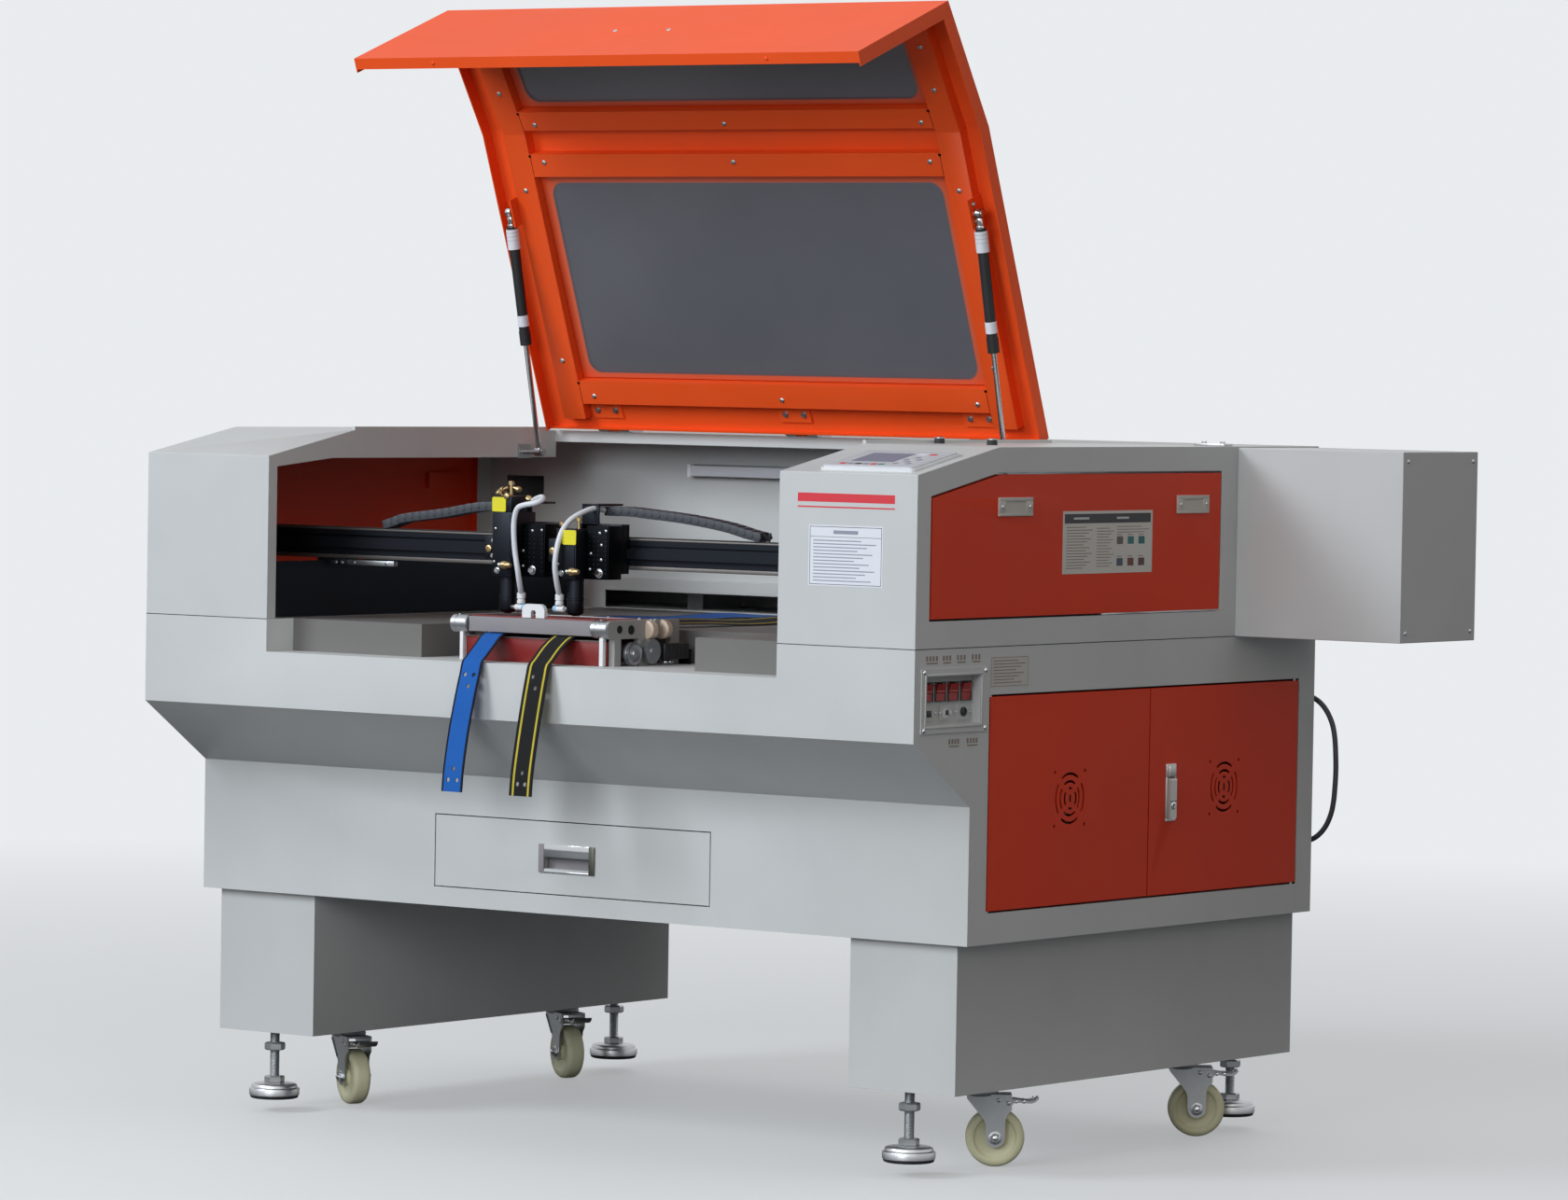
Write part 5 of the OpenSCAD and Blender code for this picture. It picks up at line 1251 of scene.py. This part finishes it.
# ---- control panel -------------------------------------------------------------------------------
def control_panel():
    """Housing, membrane with its screen and keys, and two coloured fields above the key block."""
    up = Vector((0, math.cos(SLOPE), math.sin(SLOPE)))
    front_y = 13
    corner = Vector((1223, front_y, 988.1 + front_y * math.tan(SLOPE)))
    normal = RIGHT.cross(up).normalized()
    p = Piece("panel_housing")

    def pad(u0, u1, v0, v1, h0, h1, look, radius=2.0, edge=0.1):
        shape = rounded_outline(u1 - u0, v1 - v0, radius, ((u0 + u1) / 2, (v0 + v1) / 2))
        p.sheet(shape, (corner + normal * h0, RIGHT, up), h1 - h0, look, edge)

    pad(0, 159, 0, 119, 0, 3.6, white_plastic, 7, 0.8)
    pad(3, 156, 3, 116, 3.4, 6.4, panel_pale, 6, 0.9)
    pad(7, 152, 7, 112, 6.2, 6.7, panel_skin, 4, 0.15)
    pad(30, 102, 34, 92, 6.6, 6.9, screen_glass)
    for k, look in enumerate((stripe_red, print_grey, print_dark, print_grey, stripe_red, panel_green)):
        pad(24 + 13 * k, 34 + 13 * k, 14, 22, 6.6, 7.0, look)
    for row in range(4):
        for col in range(3):
            u, v = 108 + 11 * col, 22 + 13 * row
            pad(u, u + 8, v, v + 9, 6.6, 7.0, print_faint if (row + col) % 2 else print_grey)
    pad(108, 124, 84, 94, 6.6, 7.0, label_pale)
    pad(128, 140, 84, 92, 6.6, 7.0, stripe_red)
    item = p.done()
    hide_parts("control_panel")


panel_pale = plastic("panel_pale", "D8DAE0", 0.38)
panel_skin = plastic("panel_skin", "C4C6CC", 0.45)
panel_green = plastic("panel_green", "4E8C84", 0.45)
screen_glass = plastic("screen_glass", "9A98AC", 0.2)
control_panel()


# ---- castors and feet ----------------------------------------------------------------------------
TRAIL, AXLE_Z, LEG_X = 23.0, 42.0, 116.5
TYRE = mirrored([(0, 10.4), (0.6, 11.6), (2.6, 12.4), (5.6, 13.4), (5.9, 27), (4.6, 29.6), (2.6, 30.8),
                 (2.0, 33), (2.3, 36.4), (3.8, 39.6), (6.6, 41.5), (10, AXLE_Z)], 32)


def leg_x(side):
    return LEG_X if side == "left" else WIDTH - LEG_X


def castor(end, side, y, turn):
    """Wheel, fork, swivel and brake, drawn about the swivel with the wheel to the right, then turned."""
    name = end + "_" + side
    here = Matrix.Translation((leg_x(side), y, 0)) @ Matrix.Rotation(math.radians(turn), 4, "Z")
    p = Piece("tyre_" + name, "wheel_" + name, here)
    p.turned((TRAIL, -16, AXLE_Z), BACK, TYRE, nylon, 48)
    item = p.done()
    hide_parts("wheel_" + name)

    p = Piece("fork_plates_" + name, "fork_" + name, here)
    round_end = [(TRAIL + u, AXLE_Z + v) for u, v in (round_about(a, 13.5) for a in range(180, 361, 15))]
    cheek = [(-18, 104), (-18, 98), (5, 70), (9, 62), *round_end, (37, 66), (39, 74), (46, 82), (46, 104)]
    for y0 in (20.0, -17.0):
        p.sheet(cheek, ((0, y0, 0), RIGHT, UP), 3.0, zinc, 0.7)
    p.block(-18, 46, -19.6, 19.6, 101, 104, zinc, 0.8)
    for y0 in (19.6, -21.2):
        p.sheet([(-18, 98), (-15, 98), (8, 70), (5, 70)], ((0, y0, 0), RIGHT, UP), -1.6, zinc, 0.4)
    p.turned((0, 0, 104), UP, [(0, 17), (12, 17), (16, 20)], zinc, 32)
    item = p.done()
    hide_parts("fork_" + name)

    p = Piece("swivel_" + name, "fork_" + name, here)
    p.turned((0, 0, 100.6), UP, [(0, 21), (1.4, 25.2), (5, 26.8), (8.4, 25.8), (9.2, 23.6), (10.4, 23.2),
                                 (11.4, 25), (14.6, 24.4), (15.3, 22)], zinc, 40)
    for out in (FRONT, BACK):
        axle = Vector((TRAIL, 0, AXLE_Z))
        p.turned(axle + out * 19.8, out, [(0, 9.4), (1.0, 9.4), (1.3, 8.6)], zinc, 24)
        p.hexagon(axle + out * 21, axle + out * 26, 7.2, chromed)
        p.turned(axle + out * 25.8, out, [(0, 3.8), (1.6, 3.6), (2.2, 2.4)], chromed, 16)
        for x, z in ((27, 96), (41, 92)):
            p.turned(Vector((x, 0, z)) + out * 19.8, out, [(0, 3.4), (0.9, 3.2), (1.6, 1.8)], zinc, 14)
    p.done()

    p = Piece("pedal_" + name, "brake_" + name, here)
    lever = [(35, 89), (36, 96.5), (50, 97.4), (64, 95.4), (73, 95), (79, 97.2), (82.6, 100.2), (84.6, 98.6),
             (81, 94.2), (75, 91.6), (64, 91.8), (50, 92.6), (46, 88)]
    p.sheet(lever, ((0, 15, 0), RIGHT, UP), 30, zinc, 0.6)
    p.rod((41, -16.4, 92), (41, 16.4, 92), 5, zinc, 20, 0.4)
    for out in (FRONT, BACK):
        for x in (52, 63):
            p.turned(Vector((x, 0, 94)) + out * 15, out, [(0, 2.6), (1.0, 2.6), (1.6, 1.6)], chromed, 14)
    for k in range(4):
        p.block(66 + 3.2 * k, 67.4 + 3.2 * k, -12, 12, 94.6 + 0.3 * k, 95.8 + 0.42 * k * k, zinc, 0.2)
    item = p.done()
    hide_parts("brake_" + name)


def foot(end, side, y):
    name = end + "_" + side
    x = leg_x(side)
    p = Piece("levelling_" + name, "foot_" + name)
    p.turned((x, y, 20), UP, [(0, 33), (1, 35.6), (4.6, 36.6), (5.2, 36.0)], stop_rubber, 48)
    p.turned((x, y, 24.6), UP, [(0, 36.2), (0.6, 37.6), (9.6, 37.9), (10.6, 37.4), (11.2, 35.6), (12, 34.6),
                                (15.4, 34.2), (17, 32.6), (18, 28), (18.6, 19), (19, 12)], foot_metal, 48)
    p.hexagon((x, y, 42.8), (x, y, 53.6), 15.2, zinc)
    p.hexagon((x, y, 92.2), (x, y, 103.8), 15.6, zinc)
    pitch, root, crest = 2.0, 6.5, 7.4
    thread = [(k * pitch / 2, crest if k % 2 else root) for k in range(72)]
    p.turned((x, y, 49), UP, thread + [(110.5, 7.0)], zinc, 20)
    item = p.done(40.0)
    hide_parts("foot_" + name)


stop_rubber = plastic("stop_rubber", "202124", 0.7)
foot_metal = metal("foot_metal", "C6C7C9", 0.36, (1.0, 1.0, 8.0), 120.0, 0.1)
for side, turn in (("left", -28.8), ("right", 36.0)):
    for end, castor_y, foot_y in (("front", 344.0, 172.0), ("rear", 871.0, 1006.0)):
        castor(end, side, castor_y, turn)
        foot(end, side, foot_y)


# ---- gas struts ----------------------------------------------------------------------------------
def strut_bands():
    """Sleeves, plain bands and end fittings of the gas struts, from the lid's end to the body's."""
    strut_x, bore = 266.0, 8.05
    for side, x, out in (("left", strut_x, LEFT), ("right", WIDTH - strut_x, RIGHT)):
        start, foot_end = Vector((x, 519.96, 1358.24)), Vector((x, 600.0, 993.0))
        way = (foot_end - start).normalized()
        p = Piece("strut_sleeve_" + side, "strut_tube_" + side)
        for a, b, r in ((7, 27, 5.2), (18, 24, 6.4)):
            p.rod(start + way * a, start + way * b, r, chromed, 28, 0.3)
        for a, b, r, look in ((26, 57, 9.8, label_pale), (160, 177, 8.6, label_pale),
                              (184, 206, 8.8, black_plastic)):
            p.turned(start + way * a, way, [(0, bore), (0, r - 0.3), (0.3, r), (b - a - 0.3, r),
                                            (b - a, r - 0.3), (b - a, bore)], look, 28, hollow=True)
        p.turned(start + way * 205.1, way, [(0, 4.6), (0, 8.3), (0.9, 8.3), (0.9, 4.6)], black_plastic, 28,
                 hollow=True)
        p.turned(start + LEFT * 5.4, RIGHT, [(0, 5.2), (1.2, 7.3), (5.4, 8.6), (9.6, 7.3), (10.8, 5.2)],
                 chromed, 24)
        for k in range(3):
            p.turned(start + way * 30 + way * (6 * k), way, [(0, 9.7), (0, 9.87), (1.2, 9.87), (1.2, 9.7)],
                     print_faint, 28, hollow=True)
        p.done()
        p = Piece("strut_stud_" + side, BODY)
        p.hexagon(foot_end - out * 6, foot_end - out * 10, 6.5, zinc)
        p.done()
        p = Piece("lid_stud_" + side, "lid")
        p.turned(start + out * 5.2, out, [(0, 4.5), (1.4, 4.5), (1.8, 3.2)], chromed, 20)
        p.done()


strut_bands()


# ---- back, top and sides -------------------------------------------------------------------------
def seams_and_seals():
    """A dark strip painted as the shadow in the open joint between upper body and cabinet, and the rubber
    seals under the hatches.
    """
    p = Piece("body_joint")
    proud, deep = 0.12, 0.4
    for x0, x1, y0, y1 in ((-proud, 235, -proud, deep), (1165, WIDTH + proud, -proud, deep),
                           (-proud, deep, 0, DEPTH), (WIDTH - deep, WIDTH + proud, 0, DEPTH),
                           (0, WIDTH, DEPTH - deep, DEPTH + proud)):
        p.block(x0, x1, y0, y1, BED - 0.5, BED + 0.5, joint_dark, 0.0)
    p.done()
    p = Piece("hatch_seals")
    for x0 in (1388, 4):
        p.block(x0, x0 + 8, 36, 767, 778, 786.2, stop_rubber, 0.4)
    p.done()


# dark grey painted as the shadow inside the body's open joint
joint_dark = plastic("joint_dark", "3A3B3E", 0.7, shine=0.05)
seams_and_seals()


def back_panels():
    """Screwed panels of the back, the fan's guard over its hub, and a field of vent slots, with dark strips
    painted as the shade in the slots.
    """
    plate_y, fan = 1037.4, Vector((975, 1037.2, 560))
    p = Piece("rear_access_panel")
    for x0, x1, z0, z1 in ((110, 560, 372, 708), (846, 1104, 430, 690)):
        p.block(x0, x1, 1035.8, plate_y, z0, z1, grey_paint, 0.6)
    for r in (24, 40, 56, 72):
        p.turned(fan, BACK, [(0, r + 1.3), (1.6, r + 1.3), (1.6, r - 1.3), (0, r - 1.3)], steel, 48)
    for a in (45, 135):
        c, s = round_about(a, 76)
        p.rod(fan + Vector((-c, 1, -s)), fan + Vector((c, 1, s)), 1.4, steel, 10)
    p.turned(fan + FRONT * 0.2, BACK, [(0, 22), (1.2, 22), (1.8, 20)], black_plastic, 40)
    for row in range(9):
        z = 420 + 14 * row
        p.block(180, 490, 1037.0, 1041.5, z, z + 1.6, grey_paint, 0.4)
        # dark strip between the louvres: painted shade in the slot
        p.block(180, 490, 1036.9, 1037.7, z - 6, z - 1, print_dark, 0.1)
    p.done()
    places = [((x, plate_y, z), BACK, 3.4) for x in (120, 335, 550) for z in (382, 698)]
    places += [((x, plate_y, 540), BACK, 3.4) for x in (120, 550)]
    places += [((x, plate_y, z), BACK, 3.4) for x in (856, 1094) for z in (440, 680)]
    ring = [round_about(a, 86) for a in range(0, 360, 45)]
    places += [((700 + u, 1039, 560 + v), BACK, 3.2) for u, v in ring]
    places += [((x, DEPTH, 1012), BACK, 3.2) for x in range(60, 1400, 160)]
    spread("rear_screws", BODY, PAN, zinc, places)


def top_fittings():
    """Rubber stops for the lid, a small bracket, and the bolts of the hinges and the tube housing."""
    top_z = 1025.8
    p = Piece("top_fittings")
    for x, y in ((1183, 360), (1288, 340)):
        p.turned((x, y, top_z + 0.1), UP, [(0, 7.6), (1.2, 7.6), (7, 7.2), (9.0, 6.6), (9.6, 5.0)],
                 stop_rubber, 28)
    p.block(1340, 1392, 786, 810, top_z, 1029.6, zinc, 0.8)
    p.done()
    spread("top_bolts", BODY, HEX, zinc,
           [((x + dx, HINGE.y + 22, 1028.5), UP, 3.4) for x in LID_HINGES for dx in (-22, 0, 22)]
           + [((x, 798, 1029.6), UP, 3.6) for x in (1350, 1382)])
    spread("housing_screws", BODY, PAN, zinc,
           [((1682, y, z), RIGHT, 3.2) for y in (826, 1008) for z in (762, 1010)]
           + [((x, 1022, z), BACK, 3.2) for x in (1420, 1540, 1660) for z in (762, 1010)])


back_panels()
top_fittings()


# ---- inside the cabinet and the chamber ----------------------------------------------------------
def lamp_bar(p):
    """Channel, diffuser and end caps."""
    x0, x1 = 407, 993
    p.block(x0, x1, 800, 812, 957, 977, alu, 0.6)
    p.block(x0 + 6, x1 - 6, 790.6, 801, 958.4, 975.6, lamp_cover, 4.0)
    for cap_x in (x0, x1 - 7):
        p.block(cap_x, cap_x + 7, 790, 812, 957, 977, white_plastic, 1.2)


def power_supply(p):
    """Base tray, cover, vents, fan and terminals. The vent slots and the disc behind the fan's guard are near
    black, painted shade.
    """
    side_x = 1180
    fan = Vector((side_x, 896, 436))
    p.block(980.8, 1179.2, 700.8, 959.2, 334, 366, zinc, 0.8)
    p.block(980, side_x, 700, 960, 352, 494, supply_grey, 1.4)
    for k in range(14):
        p.block(side_x - 0.2, side_x + 0.3, 716 + 7.5 * k, 719.5 + 7.5 * k, 424, 470, vent_dark, 0.0)
        p.block(1000 + 11 * k, 1005 + 11 * k, 730, 800, 493.8, 494.3, vent_dark, 0.0)
    p.turned(fan, RIGHT, [(0, 37), (0.4, 37), (0.4, 4)], vent_dark, 40, hollow=True)
    for r in (38, 30, 22, 14):
        p.turned(fan + RIGHT * 2.4, RIGHT, [(0, r - 1.2), (0, r + 0.2), (1.5, r + 0.2), (1.5, r - 1.2)], zinc,
                 40, hollow=True)
    p.turned(fan + RIGHT * 0.4, RIGHT, [(0, 9), (3.6, 9), (4.4, 8)], zinc, 28)
    for a in (45, 135, 225, 315):
        spoke = Vector((0, *round_about(a)))
        p.rod(fan + RIGHT * 2.6 + spoke * 8, fan + RIGHT * 2.6 + spoke * 47, 1.1, zinc, 10, 0.2)
    p.block(side_x - 0.5, side_x + 12, 716, 832, 376, 382, black_plastic, 0.6)
    p.block(side_x - 0.5, side_x + 6, 716, 832, 381, 394, black_plastic, 0.6)
    for k in range(9):
        p.block(side_x, side_x + 12, 715 + 14.25 * k, 717.4 + 14.25 * k, 380, 393, black_plastic, 0.3)
    return [((side_x, y, z), RIGHT, 3.0) for y in (708, 952) for z in (362, 486)] + [
        (fan + Vector((4.2, u * 46, v * 46)), RIGHT, 3.4) for u in (0.7, -0.7) for v in (0.7, -0.7)] + [
        ((side_x + 6, 723.5 + 14.25 * k, 387.5), RIGHT, 2.9) for k in range(8)]


def motion_controller(p):
    """Folded case on its base plate, with the terminal blocks in front."""
    p.block(255, 425, 300, 520, 334, 337, zinc, 0.3)
    p.block(262, 418, 306, 514, 336, 379, black_plastic, 1.0)
    for k in range(7):
        for y0, z0, z1 in ((299, 344, 356), (296.5, 360, 368)):
            p.block(268 + 21 * k, 286 + 21 * k, y0, 306.5, z0, z1, terminal_green, 0.5)
    return [((x, y, 337), UP, 3.0) for x in (258.5, 421.5) for y in (312, 508)] + [
        ((272 + 7 * k, 299, 350), FRONT, 1.5) for k in range(21)]


def electric_units():
    p = Piece("electric_units")
    lamp_bar(p)
    screws = power_supply(p) + motion_controller(p)
    item = p.done()
    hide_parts("electrics")
    spread("electric_units_screws", BODY, PAN, zinc, screws)


supply_grey = metal("supply_grey", "A4A8AC", 0.45)
terminal_green = plastic("terminal_green", "2F7D46", 0.45)
electric_units()


# ---- floor, lamps and world ----------------------------------------------------------------------
BACKGROUND = (0.82, 0.84, 0.86)


def floor():
    """A plain floor that turns to the pale background away from the machine, for the camera only."""
    mesh = bpy.data.meshes.new("floor")
    half = 30.0
    mesh.from_pydata([(x, y, 0) for x, y in rectangle(-half, half, -half, half)], [], [(0, 1, 2, 3)])
    item = bpy.data.objects.new("floor", mesh)
    scene.collection.objects.link(item)
    f = Finish("floor_finish")
    x, y, _ = f.xyz()
    away = (x * x + y * y).root().ramp(1.6, 6.0)
    seen = Sock(f.node("ShaderNodeLightPath").outputs["Is Camera Ray"])
    f.set(Base_Color=f.mix(seen, lin("505254"), lin("DCDFE1")), Roughness=0.6)
    pale = f.node("ShaderNodeEmission", Color=BACKGROUND, Strength=1.0)
    far = f.node("ShaderNodeMixShader", n_0=seen * (0.4 + 0.6 * away), n_1=f.shader.outputs[0],
                 n_2=pale.outputs[0])
    feed(f.mat.node_tree.nodes["Material Output"].inputs["Surface"], far.outputs[0])
    mesh.materials.append(f.mat)


def lamp(name, place, aim, size, watts, colour=(1.0, 1.0, 1.0)):
    data = bpy.data.lights.new(name, "AREA")
    data.shape, data.size, data.size_y = "RECTANGLE", size[0], size[1]
    data.energy, data.color = watts, colour
    item = bpy.data.objects.new(name, data)
    way = Vector(aim) - Vector(place)
    item.matrix_world = Matrix.Translation(place) @ way.to_track_quat("-Z", "Y").to_matrix().to_4x4()
    scene.collection.objects.link(item)


def surrounding_light():
    """A weak even light, and the pale background for the camera and in metal and glass."""
    world = bpy.data.worlds.new("world")
    scene.world = world
    world.use_nodes = True
    tree = world.node_tree
    tree.nodes.clear()
    path = add_node(tree, "ShaderNodeLightPath").outputs
    either = add_node(tree, "ShaderNodeMath", {"operation": "ADD", "use_clamp": True},
                      n_0=path["Is Camera Ray"], n_1=path["Is Glossy Ray"])
    shown = add_node(tree, "ShaderNodeMath", {"operation": "ADD", "use_clamp": True}, n_0=either.outputs[0],
                     n_1=path["Is Transmission Ray"])
    soft = add_node(tree, "ShaderNodeBackground", Color=(1.0, 0.98, 0.95), Strength=0.22)
    pale = add_node(tree, "ShaderNodeBackground", Color=BACKGROUND)
    mix = add_node(tree, "ShaderNodeMixShader", n_0=shown.outputs[0], n_1=soft.outputs[0],
                   n_2=pale.outputs[0])
    add_node(tree, "ShaderNodeOutputWorld", n_0=mix.outputs[0])


floor()
lamp("key", (-2.6, -4.9, 3.9), (-0.1, -0.2, 0.8), (2.4, 2.2), 216.0, (0.88, 0.94, 1.0))
lamp("front", (1.1, -6.3, 2.3), (0.2, 0.0, 1.1), (2.6, 2.0), 134.0, (0.9, 0.95, 1.0))
lamp("fill", (4.5, -4.0, 3.0), (0.3, 0.0, 0.7), (3.0, 3.0), 29.0, (1.0, 0.92, 0.8))
lamp("top", (0.5, 0.6, 4.6), (0.0, 0.0, 0.8), (3.5, 3.0), 35.0)
surrounding_light()
scene.view_settings.view_transform = "Standard"

for unit in UNITS:
    bpy.data.objects.remove(unit)
